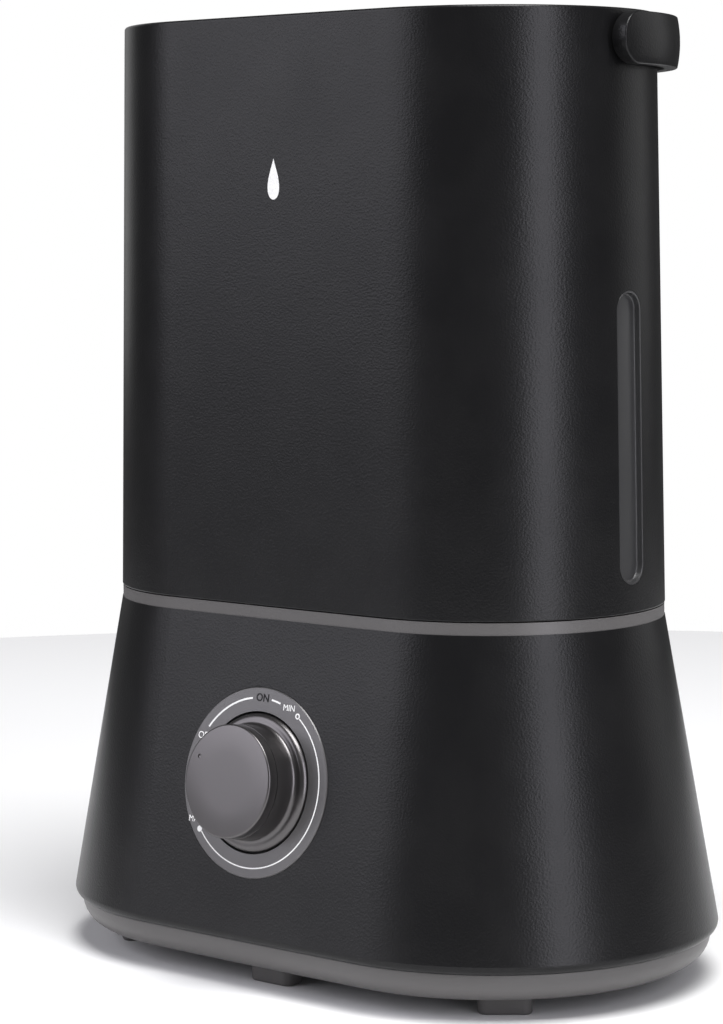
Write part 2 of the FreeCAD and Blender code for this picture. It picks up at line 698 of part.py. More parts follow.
def fan_rotor():
    """Hub with twisted blades, turning between the pan and the motor mount."""
    low, high = PAN_FLOOR_Z + 2.0, PAN_FLOOR_Z + FAN_HEIGHT - 3.0
    hub = disc(FAN_HUB_RADIUS, low, high, FAN_X, FAN_Y)
    pitch_angle = 38.0
    tip = FAN_BORE_RADIUS - 1.0
    chord = (high - low) * 0.85 / math.sin(math.radians(pitch_angle))
    blades = []
    for i in range(FAN_BLADES):
        blade = Part.makeBox(tip - FAN_HUB_RADIUS + 1.0, chord, 1.2, Vector(FAN_HUB_RADIUS - 1.0, -chord / 2, -0.6))
        blade.rotate(Vector(0, 0, 0), ALONG_X, pitch_angle)
        blade.rotate(Vector(0, 0, 0), UP, 360.0 * i / FAN_BLADES)
        blade.translate(Vector(FAN_X, FAN_Y, (low + high) / 2))
        blades.append(blade)
    swept = disc(tip, low, high, FAN_X, FAN_Y)
    spindle = disc(1.5, high, PAN_FLOOR_Z + FAN_HEIGHT - 0.2, FAN_X, FAN_Y)
    return fused([hub, *[b.common(swept) for b in blades], spindle])


def air_duct():
    """Tapered pipe from the fan up to the basin's air tower."""
    low, high = PAN_FLOOR_Z + FAN_HEIGHT, BASIN_UNDER_Z
    lower = FAN_BORE_RADIUS - 1.0

    def ring(radius, x, z):
        return Part.Wire(Part.makeCircle(radius, Vector(x, FAN_Y, z)))

    outer = Part.makeLoft([ring(lower, FAN_X, low), ring(AIR_TOWER_RADIUS + AIR_WALL, tower_x(), high)], True)
    inner = Part.makeLoft([ring(lower - AIR_WALL, FAN_X, low), ring(AIR_TOWER_RADIUS, tower_x(), high)], True)
    return outer.cut(inner)


# ---------------------------------------------------------------- electronics
def board_z():
    return PAN_FLOOR_Z + BOARD_STANDOFF


def board_screw_places():
    return [(BOARD_X + sx * (BOARD_LENGTH / 2 - 5), BOARD_Y + sy * (BOARD_WIDTH / 2 - 5))
            for sx in (-1, 1) for sy in (-1, 1)]


def power_board():
    board = block(BOARD_X, BOARD_Y, board_z(), BOARD_LENGTH, BOARD_WIDTH, BOARD_THICKNESS)
    for x, y in board_screw_places():
        board = board.cut(disc(SCREW_RADIUS + THROUGH_CLEARANCE, board_z(), board_z() + BOARD_THICKNESS, x, y))
    return board


def board_screws():
    top = board_z() + BOARD_THICKNESS
    return group([
        disc(SCREW_HEAD_RADIUS - 0.4, top, top + 1.6, x, y).fuse(disc(SCREW_RADIUS, board_z() - 8.0, top, x, y))
        for x, y in board_screw_places()
    ])


def board_top(x, y, width, depth, height):
    """A component standing on the board, placed from the board's middle."""
    return block(BOARD_X + x, BOARD_Y + y, board_z() + BOARD_THICKNESS, width, depth, height)


def transformer():
    core = board_top(-12, 4, 20, 17, 16)
    bobbin = board_top(-12, 4, 14, 22, 12)
    return core.fuse(bobbin).removeSplitter()


def capacitors():
    low = board_z() + BOARD_THICKNESS
    places = [(-28, -5, 5.0, 20.0), (4, -14, 4.0, 12.0), (14, -14, 4.0, 12.0)]
    return group([disc(r, low, low + h, BOARD_X + x, BOARD_Y + y) for x, y, r, h in places])


def heat_sink():
    """Finned aluminium block for the driver transistor."""
    base = board_top(22, 3, 3.0, 24.0, 24.0)
    fins = [board_top(26.5, 3 - 10.5 + 5.25 * i, 6.0, 1.4, 24.0) for i in range(5)]
    return fused([base, *fins])


def driver_transistor():
    return board_top(18.2, 3, 4.6, 10.0, 15.0)


def board_connectors():
    return group([board_top(6 + 10 * i, 17.5, 7.5, 6.0, 7.0) for i in range(2)])


def gland_axis_cylinder(radius, length, start=-10.0):
    """A cylinder along Y through the back wall at the gland's place."""
    return Part.makeCylinder(radius, length, gland_mouth() + Vector(0, start, 0), Vector(0, 1, 0))


def gland_mouth():
    """Where the gland's axis meets the back wall's outer surface."""
    return Vector(GLAND_X, SEAM_DEPTH / 2 + base_grow(GLAND_HEIGHT), GLAND_HEIGHT)


def cord_gland():
    """Bushing in the back wall that the mains lead passes through."""
    grip = gland_axis_cylinder(GLAND_RADIUS - 1.0, 11.2)
    wall = base_shell_wall_at_back()
    inner_flange = gland_axis_cylinder(GLAND_RADIUS + 1.5, 2.0, -9.0)
    outer_flange = gland_axis_cylinder(GLAND_RADIUS + 1.0, 4.0, -2.0).cut(wall)
    sleeve = Part.makeCone(GLAND_RADIUS - 1.0, GLAND_RADIUS - 1.6, GLAND_SLEEVE_LENGTH,
                           gland_mouth(), Vector(0, 1, 0))
    body = fused([grip, inner_flange, outer_flange, sleeve])
    return body.cut(gland_axis_cylinder(GLAND_BORE_RADIUS, 40.0, -20.0))


def base_shell_wall_at_back():
    """Everything inside the shell's outer surface, for shaping what sits on it."""
    return tapered(base_grow(PAN_TOP_Z), PAN_TOP_Z, base_grow(SEAM_Z), SEAM_Z)


# ---------------------------------------------------------------- tank
def window_middle_z():
    return TANK_FOOT_Z + WINDOW_BOTTOM + WINDOW_LENGTH / 2


def window_slot(extra=0.0):
    return stadium_x(WINDOW_Y, window_middle_z(), WINDOW_WIDTH + 2 * extra, WINDOW_LENGTH + 2 * extra,
                     SEAM_WIDTH / 2 - 20.0, SEAM_WIDTH / 2 + 10.0)


def pivot_x():
    """The tank's outer surface at the handle's axis."""
    return SEAM_WIDTH / 2 + tank_grow(PIVOT_Z)


def along_pivot(radius, x0, x1):
    """A cylinder on the handle's axis."""
    return Part.makeCylinder(radius, x1 - x0, Vector(x0, PIVOT_Y, PIVOT_Z), ALONG_X)


def tank_shell():
    """Black outer wall of the tank, open above and below."""
    outer = tapered(0, TANK_FOOT_Z, tank_grow(RIM_Z), RIM_Z)
    outer = outer.makeFillet(RIM_ROUND, edges_at(outer, RIM_Z))
    shell = outer.cut(tapered(-TANK_WALL, TANK_FOOT_Z, tank_grow(RIM_Z) - TANK_WALL, RIM_Z))
    shell = shell.cut(window_slot())
    hole = along_pivot(PIVOT_RADIUS + RUNNING_CLEARANCE, pivot_x() - 10.0, pivot_x() + 5.0)
    shell = shell.cut(hole).cut(mirrored_x(hole))
    rest_z = PIVOT_Z - HANDLE_BAND / 2 - REST_GAP - REST_HEIGHT
    back = SEAM_DEPTH / 2 + tank_grow(rest_z)
    rest = Part.makeBox(REST_WIDTH, REST_DEPTH + 1.0, REST_HEIGHT, Vector(-REST_WIDTH / 2, back - 1.0, rest_z))
    return shell.fuse(rest).removeSplitter()


def level_window():
    """Smoked strip set into the slot from inside, with a flange behind the wall."""
    low, high = TANK_FOOT_Z + 1.0, RIM_Z - TRAY_RECESS
    strip = window_slot().common(tank_band(WINDOW_RECESS, TANK_WALL, low, high))
    behind = tank_band(TANK_WALL, TANK_WALL + WINDOW_FLANGE_THICKNESS, low, high)
    flange = window_slot(WINDOW_FLANGE).common(behind)
    return strip.fuse(flange).removeSplitter()


def tank_floor():
    """Tank bottom with the filler neck and the skirt that locates it in the basin."""
    low, high = TANK_FLOOR_Z, TANK_FLOOR_Z + TANK_FLOOR_THICKNESS
    plate = tapered(tank_grow(low) - TANK_WALL, low, tank_grow(high) - TANK_WALL, high)
    skirt_grow = TUB_INSIDE_GROW - SKIRT_CLEARANCE
    skirt_low = TANK_FOOT_Z - SKIRT_DEPTH
    skirt = straight(skirt_grow, skirt_low, low).cut(straight(skirt_grow - SKIRT_WALL, skirt_low, low))
    neck = disc(NECK_RADIUS, low - NECK_LENGTH, low, FILLER_X, 0)
    lugs = bayonet_lugs(NECK_RADIUS - 0.5, NECK_RADIUS + LUG_REACH, neck_lug_z(), 0.0)
    body = fused([plate, skirt, neck, *lugs])
    body = body.cut(disc(NECK_RADIUS - NECK_WALL, low - NECK_LENGTH, high, FILLER_X, 0))
    return body.cut(disc(RISER_RADIUS, low, high))


def bayonet_lugs(inner, outer, z, turn):
    """Three arc-shaped lugs round the filler's axis."""
    lugs = []
    for i in range(3):
        start = turn + 120.0 * i - LUG_ANGLE / 2
        whole = Part.makeCylinder(outer, LUG_HEIGHT, Vector(0, 0, 0), UP, LUG_ANGLE)
        lug = whole.cut(disc(inner, 0, LUG_HEIGHT))
        lug.Placement = Placement(Vector(FILLER_X, 0, z), Rotation(UP, start))
        lugs.append(lug)
    return lugs


def neck_bottom_z():
    return TANK_FLOOR_Z - NECK_LENGTH


def neck_lug_z():
    return neck_bottom_z() + 4.0


def cap_plate_z():
    """Upper face of the cap's end plate, under its seal and the neck."""
    return neck_bottom_z() - SEAL_GAP - CAP_SEAL_HEIGHT


def tank_cap():
    """Bayonet cap on the filler neck, with the valve seat in its middle."""
    inside = NECK_RADIUS + LUG_REACH + CAP_CLEARANCE
    top = neck_lug_z() + 2 * LUG_HEIGHT + 0.8
    low = cap_plate_z() - CAP_END
    body = disc(inside + CAP_WALL, low, top, FILLER_X, 0).cut(disc(inside, cap_plate_z(), top, FILLER_X, 0))
    lugs = bayonet_lugs(NECK_RADIUS + CAP_CLEARANCE, inside + 0.5, neck_lug_z() + LUG_HEIGHT + 0.3, 0.0)
    ribs = []
    for i in range(24):
        a = math.radians(15 * i)
        reach = inside + CAP_WALL
        ribs.append(disc(0.9, low, top, FILLER_X + reach * math.cos(a), reach * math.sin(a)))
    body = fused([body, *lugs, *ribs])
    guide = disc(VALVE_STEM_RADIUS + 1.6, low, cap_plate_z(), FILLER_X, 0)
    spokes = [block(FILLER_X, 0, low, 2 * VALVE_SEAT_RADIUS + 1, 1.8, CAP_END),
              block(FILLER_X, 0, low, 1.8, 2 * VALVE_SEAT_RADIUS + 1, CAP_END)]
    body = body.cut(disc(VALVE_SEAT_RADIUS, low, cap_plate_z(), FILLER_X, 0))
    body = fused([body, guide, *spokes])
    return body.cut(disc(VALVE_STEM_RADIUS + 0.15, low, cap_plate_z(), FILLER_X, 0))


def cap_seal():
    return tube(NECK_RADIUS, NECK_RADIUS - NECK_WALL - 1.0, cap_plate_z(), neck_bottom_z() - SEAL_GAP, FILLER_X, 0)


def valve_foot_z():
    """Lowest point of the closed valve's stem."""
    return cap_plate_z() - CAP_END - VALVE_SPRING_LENGTH - 1.6


def valve_stem():
    top = cap_plate_z() + 5.0
    foot = disc(VALVE_STEM_RADIUS + 3.0, valve_foot_z(), valve_foot_z() + 1.6, FILLER_X, 0)
    stem = disc(VALVE_STEM_RADIUS, valve_foot_z(), top, FILLER_X, 0)
    collar = disc(VALVE_STEM_RADIUS + 1.6, cap_plate_z() + 2.4, top, FILLER_X, 0)
    return fused([foot, stem, collar])


def valve_disc():
    """Rubber disc on the stem that closes the cap's seat."""
    return tube(VALVE_DISC_RADIUS, VALVE_STEM_RADIUS, cap_plate_z() + SEAL_GAP, cap_plate_z() + 2.4, FILLER_X, 0)


def valve_spring():
    """Coil between the cap and the stem's foot, drawn as separate rings."""
    low = valve_foot_z() + 1.6
    wire = 0.5
    rings = 5
    pitch = (VALVE_SPRING_LENGTH - 2 * wire) / (rings - 1)
    reach = VALVE_STEM_RADIUS + 1.4
    return group([Part.makeTorus(reach, wire, Vector(FILLER_X, 0, low + wire + pitch * i)) for i in range(rings)])


def mist_riser():
    """Pipe that carries mist from the basin up through the tank."""
    return tube(RISER_RADIUS, RISER_RADIUS - RISER_WALL, RISER_BOTTOM_Z, TRAY_TOP_Z)


def top_tray():
    """Sunk cover of the tank, with the collar that the mist outlet stands in."""
    low = TRAY_TOP_Z - TRAY_THICKNESS
    plate = tapered(tank_grow(low) - TANK_WALL, low, tank_grow(TRAY_TOP_Z) - TANK_WALL, TRAY_TOP_Z)
    collar = disc(COLLAR_RADIUS, low, COLLAR_TOP_Z)
    body = plate.fuse(collar).cut(disc(COLLAR_RADIUS - COLLAR_WALL, TRAY_TOP_Z, COLLAR_TOP_Z))
    return body.cut(disc(RISER_RADIUS, low, TRAY_TOP_Z))


# ---------------------------------------------------------------- handle
def handle_outline(stand_off, z):
    return plan_wire(tank_grow(PIVOT_Z) + stand_off, z)


def handle():
    """Band round the back of the tank, with a round end at each pivot."""
    low, high = PIVOT_Z - HANDLE_BAND / 2, PIVOT_Z + HANDLE_BAND / 2
    outside = HANDLE_GAP + HANDLE_THICKNESS
    edge = outside - HANDLE_CROWN
    outer = Part.makeLoft([handle_outline(edge, low), handle_outline(outside, PIVOT_Z),
                           handle_outline(edge, high)], True, False)
    inner = Part.Face(handle_outline(HANDLE_GAP, low)).extrude(Vector(0, 0, HANDLE_BAND))
    reach = SEAM_WIDTH
    side_view = Part.makeBox(2 * reach, reach, HANDLE_BAND, Vector(-reach, PIVOT_Y, low)).fuse(
        along_pivot(HANDLE_BAND / 2, -reach, reach)
    )
    band = outer.cut(inner).common(side_view)
    boss = along_pivot(PIVOT_RADIUS, boss_end_x(), pivot_x() + HANDLE_GAP + 1.0)
    pilot = along_pivot(SCREW_RADIUS + PILOT_CLEARANCE, boss_end_x(), boss_end_x() + 7.0)
    for side in (lambda s: s, mirrored_x):
        band = band.fuse(side(boss)).cut(side(pilot))
    return band


def boss_end_x():
    """Inner end of the handle's pivot boss, just clear of the tank's inner wall."""
    return pivot_x() - TANK_WALL - PIVOT_END_GAP


def pivot_washers():
    low = boss_end_x() - WASHER_THICKNESS
    washer = along_pivot(WASHER_RADIUS, low, boss_end_x())
    washer = washer.cut(along_pivot(SCREW_RADIUS + THROUGH_CLEARANCE, low, boss_end_x()))
    return group([washer, mirrored_x(washer)])


def pivot_screws():
    seat = boss_end_x() - WASHER_THICKNESS
    screw = along_pivot(SCREW_HEAD_RADIUS, seat - SCREW_HEAD_HEIGHT, seat).fuse(along_pivot(SCREW_RADIUS, seat, seat + 7.5))
    slot = Part.makeBox(SCREW_HEAD_HEIGHT / 2, 0.8, 2 * SCREW_HEAD_RADIUS,
                        Vector(seat - SCREW_HEAD_HEIGHT, PIVOT_Y - 0.4, PIVOT_Z - SCREW_HEAD_RADIUS))
    screw = screw.cut(slot)
    return group([screw, mirrored_x(screw)])


# ---------------------------------------------------------------- mist outlet
def outlet_base():
    """Plug that stands in the tray's collar and carries the turning cap."""
    flange_top = outlet_flange_top_z()
    bore = OUTLET_TUBE_RADIUS - OUTLET_TUBE_WALL - 2.0
    pieces = [
        disc(COLLAR_RADIUS, COLLAR_TOP_Z + REST_GAP, flange_top),
        disc(OUTLET_TUBE_RADIUS, TRAY_TOP_Z + 1.0, flange_top),
        disc(OUTLET_SPIGOT_RADIUS, flange_top, flange_top + OUTLET_SPIGOT_HEIGHT),
    ]
    body = fused(pieces).cut(disc(bore, TRAY_TOP_Z, flange_top + OUTLET_SPIGOT_HEIGHT))
    groove = tube(OUTLET_TUBE_RADIUS, OUTLET_TUBE_RADIUS - 1.2, seal_z(), seal_z() + 2.4)
    return body.cut(groove)


def outlet_flange_top_z():
    return COLLAR_TOP_Z + REST_GAP + OUTLET_FLANGE_THICKNESS


def seal_z():
    return TRAY_TOP_Z + 3.6


def outlet_seal():
    """Rubber ring in the plug's groove, just touching the collar."""
    outer = COLLAR_RADIUS - COLLAR_WALL - 0.05
    return tube(outer, OUTLET_TUBE_RADIUS - 1.2, seal_z(), seal_z() + 2.4)


def outlet_cap():
    """Turning cap with two mist ports that face opposite ways."""
    low = outlet_flange_top_z() + REST_GAP
    top = low + OUTLET_CAP_HEIGHT
    wall, radius = OUTLET_CAP_WALL, OUTLET_CAP_RADIUS
    crown = 5.0
    spigot_gap = OUTLET_SPIGOT_RADIUS + 0.3
    body = revolved([
        (0, top),
        (radius - crown * 1.6, top - 0.6),
        (radius - crown * 0.34, top - 0.6 - crown * 0.36, "arc"),
        (radius, top - 0.6 - crown),
        (radius, low),
        (spigot_gap, low),
        (spigot_gap, low + OUTLET_SPIGOT_HEIGHT + 0.5),
        (radius - wall - 0.6, low + OUTLET_SPIGOT_HEIGHT + 1.2),
        (radius - wall - 0.6, top - crown - 0.8),
        (radius - crown * 1.6 - 0.6, top - wall - 0.6),
        (0, top - wall),
    ])
    for side in (-1, 1):
        port = Part.makeCylinder(OUTLET_PORT_RADIUS, 30.0, Vector(0, 0, 0), UP)
        port.Placement = Placement(Vector(side * 6.0, 0, low + 5.0), Rotation(Vector(0, 1, 0), side * 55.0))
        squash = FreeCAD.Matrix()
        squash.scale(1.0, 1.7, 1.0)
        body = body.cut(port.transformGeometry(squash))
    return body


# ---------------------------------------------------------------- build
NODES = {
    "base_shell": base_shell,
    "bottom_pan": bottom_pan,
    "pan_screws": pan_screws,
    "foot_pads": foot_pads,
    "water_basin": water_basin,
    "mist_well": mist_well,
    "basin_posts": basin_posts,
    "air_tower": air_tower,
    "transducer_disc": transducer_disc,
    "transducer_seal": transducer_seal,
    "transducer_clamp": transducer_clamp,
    "transducer_screws": transducer_screws,
    "level_float": level_float,
    "float_magnet": float_magnet,
    "float_retainer": float_retainer,
    "level_switch": level_switch,
    "dial_plate": dial_plate,
    "knob": knob,
    "control_shaft": control_shaft,
    "control_body": control_body,
    "control_nut": control_nut,
    "fan_frame": fan_frame,
    "fan_screws": fan_screws,
    "fan_rotor": fan_rotor,
    "air_duct": air_duct,
    "power_board": power_board,
    "board_screws": board_screws,
    "transformer": transformer,
    "capacitors": capacitors,
    "heat_sink": heat_sink,
    "driver_transistor": driver_transistor,
    "board_connectors": board_connectors,
    "cord_gland": cord_gland,
    "tank_shell": tank_shell,
    "level_window": level_window,
    "tank_floor": tank_floor,
    "mist_riser": mist_riser,
    "top_tray": top_tray,
    "tank_cap": tank_cap,
    "cap_seal": cap_seal,
    "valve_stem": valve_stem,
    "valve_disc": valve_disc,
    "valve_spring": valve_spring,
    "handle": handle,
    "pivot_washers": pivot_washers,
    "pivot_screws": pivot_screws,
    "outlet_base": outlet_base,
    "outlet_seal": outlet_seal,
    "outlet_cap": outlet_cap,
}


def main():
    os.makedirs("parts", exist_ok=True)
    for name, build in NODES.items():
        shape = build()
        if not shape.isValid() or shape.Volume <= 0 or not shape.Solids:
            raise ValueError(f"{name} is not a sound solid")
        shape.exportStep(os.path.join("parts", name + ".step"))


if __name__ == "__main__":
    main()
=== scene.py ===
"""Finishes and fine shapes of a free-standing cool mist humidifier, built round its CAD frame.

Metres, +Z up, front facing -Y. The tank wall is one section swept round the plan outline;
screws, fan blades and the valve's spring are grown by Geometry Nodes.
"""

import json
import math

import bmesh
import bpy
from bpy.props import FloatProperty, FloatVectorProperty, IntProperty
from mathutils import Matrix, Vector

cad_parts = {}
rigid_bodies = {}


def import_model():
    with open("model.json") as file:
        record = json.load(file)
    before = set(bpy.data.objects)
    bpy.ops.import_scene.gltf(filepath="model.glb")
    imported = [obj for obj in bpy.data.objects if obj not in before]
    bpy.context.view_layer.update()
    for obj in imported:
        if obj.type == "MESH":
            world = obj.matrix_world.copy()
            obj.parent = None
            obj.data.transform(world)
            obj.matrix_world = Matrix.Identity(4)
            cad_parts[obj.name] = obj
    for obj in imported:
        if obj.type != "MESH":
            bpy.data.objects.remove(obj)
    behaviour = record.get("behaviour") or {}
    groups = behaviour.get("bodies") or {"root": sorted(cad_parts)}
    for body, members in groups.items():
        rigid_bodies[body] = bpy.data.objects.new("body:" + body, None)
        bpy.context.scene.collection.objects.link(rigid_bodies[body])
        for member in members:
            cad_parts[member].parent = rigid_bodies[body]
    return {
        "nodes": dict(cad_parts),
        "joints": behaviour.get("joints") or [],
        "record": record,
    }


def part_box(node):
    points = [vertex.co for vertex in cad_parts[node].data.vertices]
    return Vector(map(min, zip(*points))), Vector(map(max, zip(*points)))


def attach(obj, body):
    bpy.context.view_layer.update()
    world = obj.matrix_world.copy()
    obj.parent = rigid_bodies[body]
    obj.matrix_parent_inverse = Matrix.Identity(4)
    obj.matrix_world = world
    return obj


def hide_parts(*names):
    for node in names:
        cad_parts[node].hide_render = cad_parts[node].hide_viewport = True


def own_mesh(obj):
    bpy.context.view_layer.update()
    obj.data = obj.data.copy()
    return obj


bl_info = {
    "name": "Cool Mist Humidifier",
    "version": (1, 0, 0),
    "blender": (4, 5, 0),
    "location": "View3D > Sidebar > Humidifier",
    "description": "Builds the finishes and fine shapes of a cool mist humidifier",
    "category": "Object",
}

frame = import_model()

MM = 0.001
TURN = 2 * math.pi

# The stage: the floor, the light from all round, and where the view stands and looks.
FLOOR_RADIUS, FLOOR_CORNERS = 0.85, 96
AMBIENT = 0.07
LAMP_AIM = Vector((0, 0, 0.16))
COOL, WHITE = (0.93, 0.92, 1.0), (1, 1, 1)
LAMPS = (  # name, azimuth in degrees, distance, height, width, length, power, tint
    ("key", -35, 2.0, 1.02, 1.55, 1.75, 26.0, COOL),
    ("left", -108, 2.0, 0.8, 0.9, 1.4, 2.4, WHITE),
    ("strip", 74, 2.0, 0.65, 0.72, 2.0, 24.0, COOL),
    ("back", 152, 2.0, 0.8, 1.2, 1.5, 4.0, WHITE),
    ("top", 62, 0.70, 2.15, 1.2, 1.2, 64.0, WHITE),
)
VIEW_PLACE = Vector((0.683305, -0.811020, 0.2584))
VIEW_RIGHT = Vector((0.7651014, 0.64388336, -0.00583733))
VIEW_UP = Vector((-0.05721021, 0.07700466, 0.995388))
VIEW_LENS, VIEW_SHIFT = 106.81, (-0.02373, -0.00107)


# ---------------------------------------------------------------- sizes and colours
def length(name, description, millimetres):
    return FloatProperty(
        name=name, description=description, default=millimetres * MM, unit="LENGTH", precision=5
    )


def colour(name, description, red, green, blue):
    return FloatVectorProperty(
        name=name, description=description, default=(red, green, blue),
        subtype="COLOR", size=3, min=0.0, max=1.0,
    )


class HumidifierSizes(bpy.types.PropertyGroup):
    bow_radius: length("Side bow", "Radius of the slightly bowed front and back", 3500)
    tank_wall: length("Tank wall", "Thickness of the tank's outer wall", 3.0)
    tank_draft: length("Tank draft", "How far the tank narrows on every side, from foot to rim", 3.4)
    rim_round: length("Rim round", "Edge radius round the tank's rim", 1.0)
    foot_round: length("Foot round", "Edge radius round the tank's foot", 0.45)
    window_bevel: length("Window bevel", "Bevel round the level window's slot", 0.30)
    window_recess: length("Window recess", "How far the level window's face lies below the wall", 2.2)
    window_rim: length("Window rim", "Width of the lip round the level window's tray", 0.75)
    handle_gap: length("Handle gap", "Clearance between the tank and the handle", 2.3)
    handle_thickness: length("Handle thickness", "Thickness of the handle's band", 5.4)
    handle_crown: length("Handle crown", "How much the band's outer face bulges", 0.9)
    handle_edge: length("Handle edge", "Edge radius of the handle's band", 0.45)
    knob_edge: length("Knob edge", "Bevel round the knob's face", 0.75)
    dimple_radius: length("Dimple", "Radius of the dimple that shows where the knob points", 0.85)
    print_height: length("Print height", "Height of printed marks above their surface", 0.06)
    fan_blades: IntProperty(
        name="Fan blades", description="Number of blades on the fan", default=7, min=3, max=15
    )
    spring_turns: FloatProperty(
        name="Spring turns", description="Turns of the valve's spring", default=5.5, min=2
    )


class HumidifierColours(bpy.types.PropertyGroup):
    body: colour("Body", "Black moulded plastic of the tank and base", 0.0060, 0.0060, 0.0064)
    trim: colour("Trim", "Warm grey plastic of the band, pan and feet", 0.083, 0.079, 0.078)
    dial: colour("Dial plate", "Satin grey of the dial plate", 0.112, 0.109, 0.110)
    knob: colour("Knob", "Satin metallic grey of the knob", 0.112, 0.107, 0.108)
    tray: colour("Tray", "Dark plastic of the sunk top tray", 0.020, 0.020, 0.022)
    window: colour("Window", "Smoked plastic of the level window", 0.036, 0.036, 0.037)
    inner: colour("Inner white", "White plastic of the wet parts", 0.74, 0.74, 0.72)
    mark: colour("Printed white", "White printed marks", 0.84, 0.84, 0.83)


def sizes():
    return bpy.context.scene.humidifier_sizes


def colours():
    return bpy.context.scene.humidifier_colours


def joint(name):
    return next(j for j in frame["joints"] if j["name"] == name)


def low(node):
    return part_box(node)[0]


def high(node):
    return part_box(node)[1]


def dial_place():
    """Local Z out of the front face along the knob's axis, local Y up the face."""
    turning = joint("knob_turn")
    out = -Vector(turning["axis"]).normalized()
    across = Vector((1, 0, 0))
    place = Matrix((across, out.cross(across), out)).transposed().to_4x4()
    place.translation = Vector(turning["pos_m"])
    return place


# ---------------------------------------------------------------- plan outline
class Plan:
    """Two bowed sides and two round ends, and everything that runs parallel to them."""

    def __init__(self):
        corner = high("tank_shell")
        self.foot = low("tank_shell").z
        self.rim = corner.z
        self.half_width = corner.x
        self.half_depth = -low("tank_shell").y
        self.bow = sizes().bow_radius
        a, b, bow = self.half_width, self.half_depth, self.bow
        self.end = (2 * bow * b - b * b - a * a) / (2 * (bow - a))
        self.end_x = a - self.end
        self.slope = math.atan2(self.end_x, bow - b)

    def at(self, angle):
        """Point and outward normal where the outline faces the given angle from +X."""
        across, along = math.cos(angle), math.sin(angle)
        if abs(across) >= math.sin(self.slope):
            centre = Vector((math.copysign(self.end_x, across), 0, 0))
            radius = self.end
        else:
            centre = Vector((0, math.copysign(self.bow - self.half_depth, -along), 0))
            radius = self.bow
        normal = Vector((across, along, 0))
        return centre + normal * radius, normal

    def normal_at(self, x, y):
        """Outward direction of the outline nearest to x, y."""
        if math.atan2(abs(y), abs(x) - self.end_x) < math.pi / 2 - self.slope:
            return Vector((x - math.copysign(self.end_x, x), y, 0)).normalized()
        return Vector((x, y + math.copysign(self.bow - self.half_depth, y), 0)).normalized()

    def angles(self, per_end, per_side):
        """Facing angles once round from -X+Y... in order, closer together on the round ends."""
        turn = math.pi / 2 - self.slope
        found = []
        for middle in (0.0, math.pi):
            found += [middle - turn + 2 * turn * i / per_end for i in range(per_end)]
            found += [middle + turn + 2 * self.slope * i / per_side for i in range(per_side)]
        return found

    def tank_inset(self, z):
        return sizes().tank_draft * (z - self.foot) / (self.rim - self.foot)


# ---------------------------------------------------------------- mesh helpers
def link(obj):
    bpy.context.scene.collection.objects.link(obj)
    return obj


def mesh_object(name, mesh):
    return link(bpy.data.objects.new(name, mesh))


def mesh_from(name, points, faces):
    mesh = bpy.data.meshes.new(name)
    mesh.from_pydata([tuple(p) for p in points], [], faces)
    return mesh


def closed_up(mesh, merge=1e-7):
    """Merges doubles and turns the faces of a closed shape outwards."""
    shape = bmesh.new()
    shape.from_mesh(mesh)
    bmesh.ops.remove_doubles(shape, verts=shape.verts, dist=merge)
    bmesh.ops.dissolve_degenerate(shape, edges=shape.edges, dist=merge)
    bmesh.ops.recalc_face_normals(shape, faces=shape.faces)
    shape.to_mesh(mesh)
    shape.free()
    return mesh


def taken(obj):
    """The evaluated shape of obj as a plain mesh; obj itself goes."""
    depsgraph = bpy.context.evaluated_depsgraph_get()
    mesh = bpy.data.meshes.new_from_object(obj.evaluated_get(depsgraph), depsgraph=depsgraph)
    bpy.data.objects.remove(obj)
    return mesh


def joined(meshes):
    shape = bmesh.new()
    for mesh in meshes:
        shape.from_mesh(mesh)
    whole = bpy.data.meshes.new("whole")
    shape.to_mesh(whole)
    shape.free()
    return whole


def carved(mesh, cutters=(), added=(), bevel=0.0, bevel_angle=50.0):
    """mesh with cutters taken away and solids added, and its new edges bevelled."""
    body = mesh_object("body", mesh)
    tools = []
    for operation, solids in (("UNION", added), ("DIFFERENCE", cutters)):
        for solid in solids:
            tool = mesh_object("tool", solid)
            tools.append(tool)
            step = body.modifiers.new("carve", "BOOLEAN")
            step.operation, step.object, step.solver = operation, tool, "EXACT"
    if bevel:
        step = body.modifiers.new("edges", "BEVEL")
        step.width, step.segments, step.limit_method = bevel, 2, "ANGLE"
        step.angle_limit = math.radians(bevel_angle)
        step.use_clamp_overlap = True
    result = taken(body)
    for tool in tools:
        bpy.data.objects.remove(tool)
    return result


def lathe(profile, segments=96, place=None):
    """A closed turned shape about local Z from corners (radius, height), in metres."""
    shape = bmesh.new()
    rings = []
    for radius, height in profile:
        if radius < 1e-7:
            rings.append([shape.verts.new((0, 0, height))])
            continue
        angles = [TURN * i / segments for i in range(segments)]
        rings.append([
            shape.verts.new((radius * math.cos(a), radius * math.sin(a), height)) for a in angles
        ])
    for here, after in zip(rings, rings[1:] + rings[:1]):
        for i in range(segments):
            j = (i + 1) % segments
            corners = [here[i % len(here)], here[j % len(here)], after[j % len(after)], after[i % len(after)]]
            corners = list(dict.fromkeys(corners))
            if len(corners) > 2:
                shape.faces.new(corners)
    bmesh.ops.recalc_face_normals(shape, faces=shape.faces)
    if place is not None:
        bmesh.ops.transform(shape, matrix=place, verts=shape.verts)
    mesh = bpy.data.meshes.new("turned")
    shape.to_mesh(mesh)
    shape.free()
    return mesh


def arc_points(x, y, radius, start, stop, steps):
    """Points on an arc in section, angles in degrees."""
    return [
        (x + radius * math.cos(math.radians(start + (stop - start) * i / steps)),
         y + radius * math.sin(math.radians(start + (stop - start) * i / steps)))
        for i in range(steps + 1)
    ]


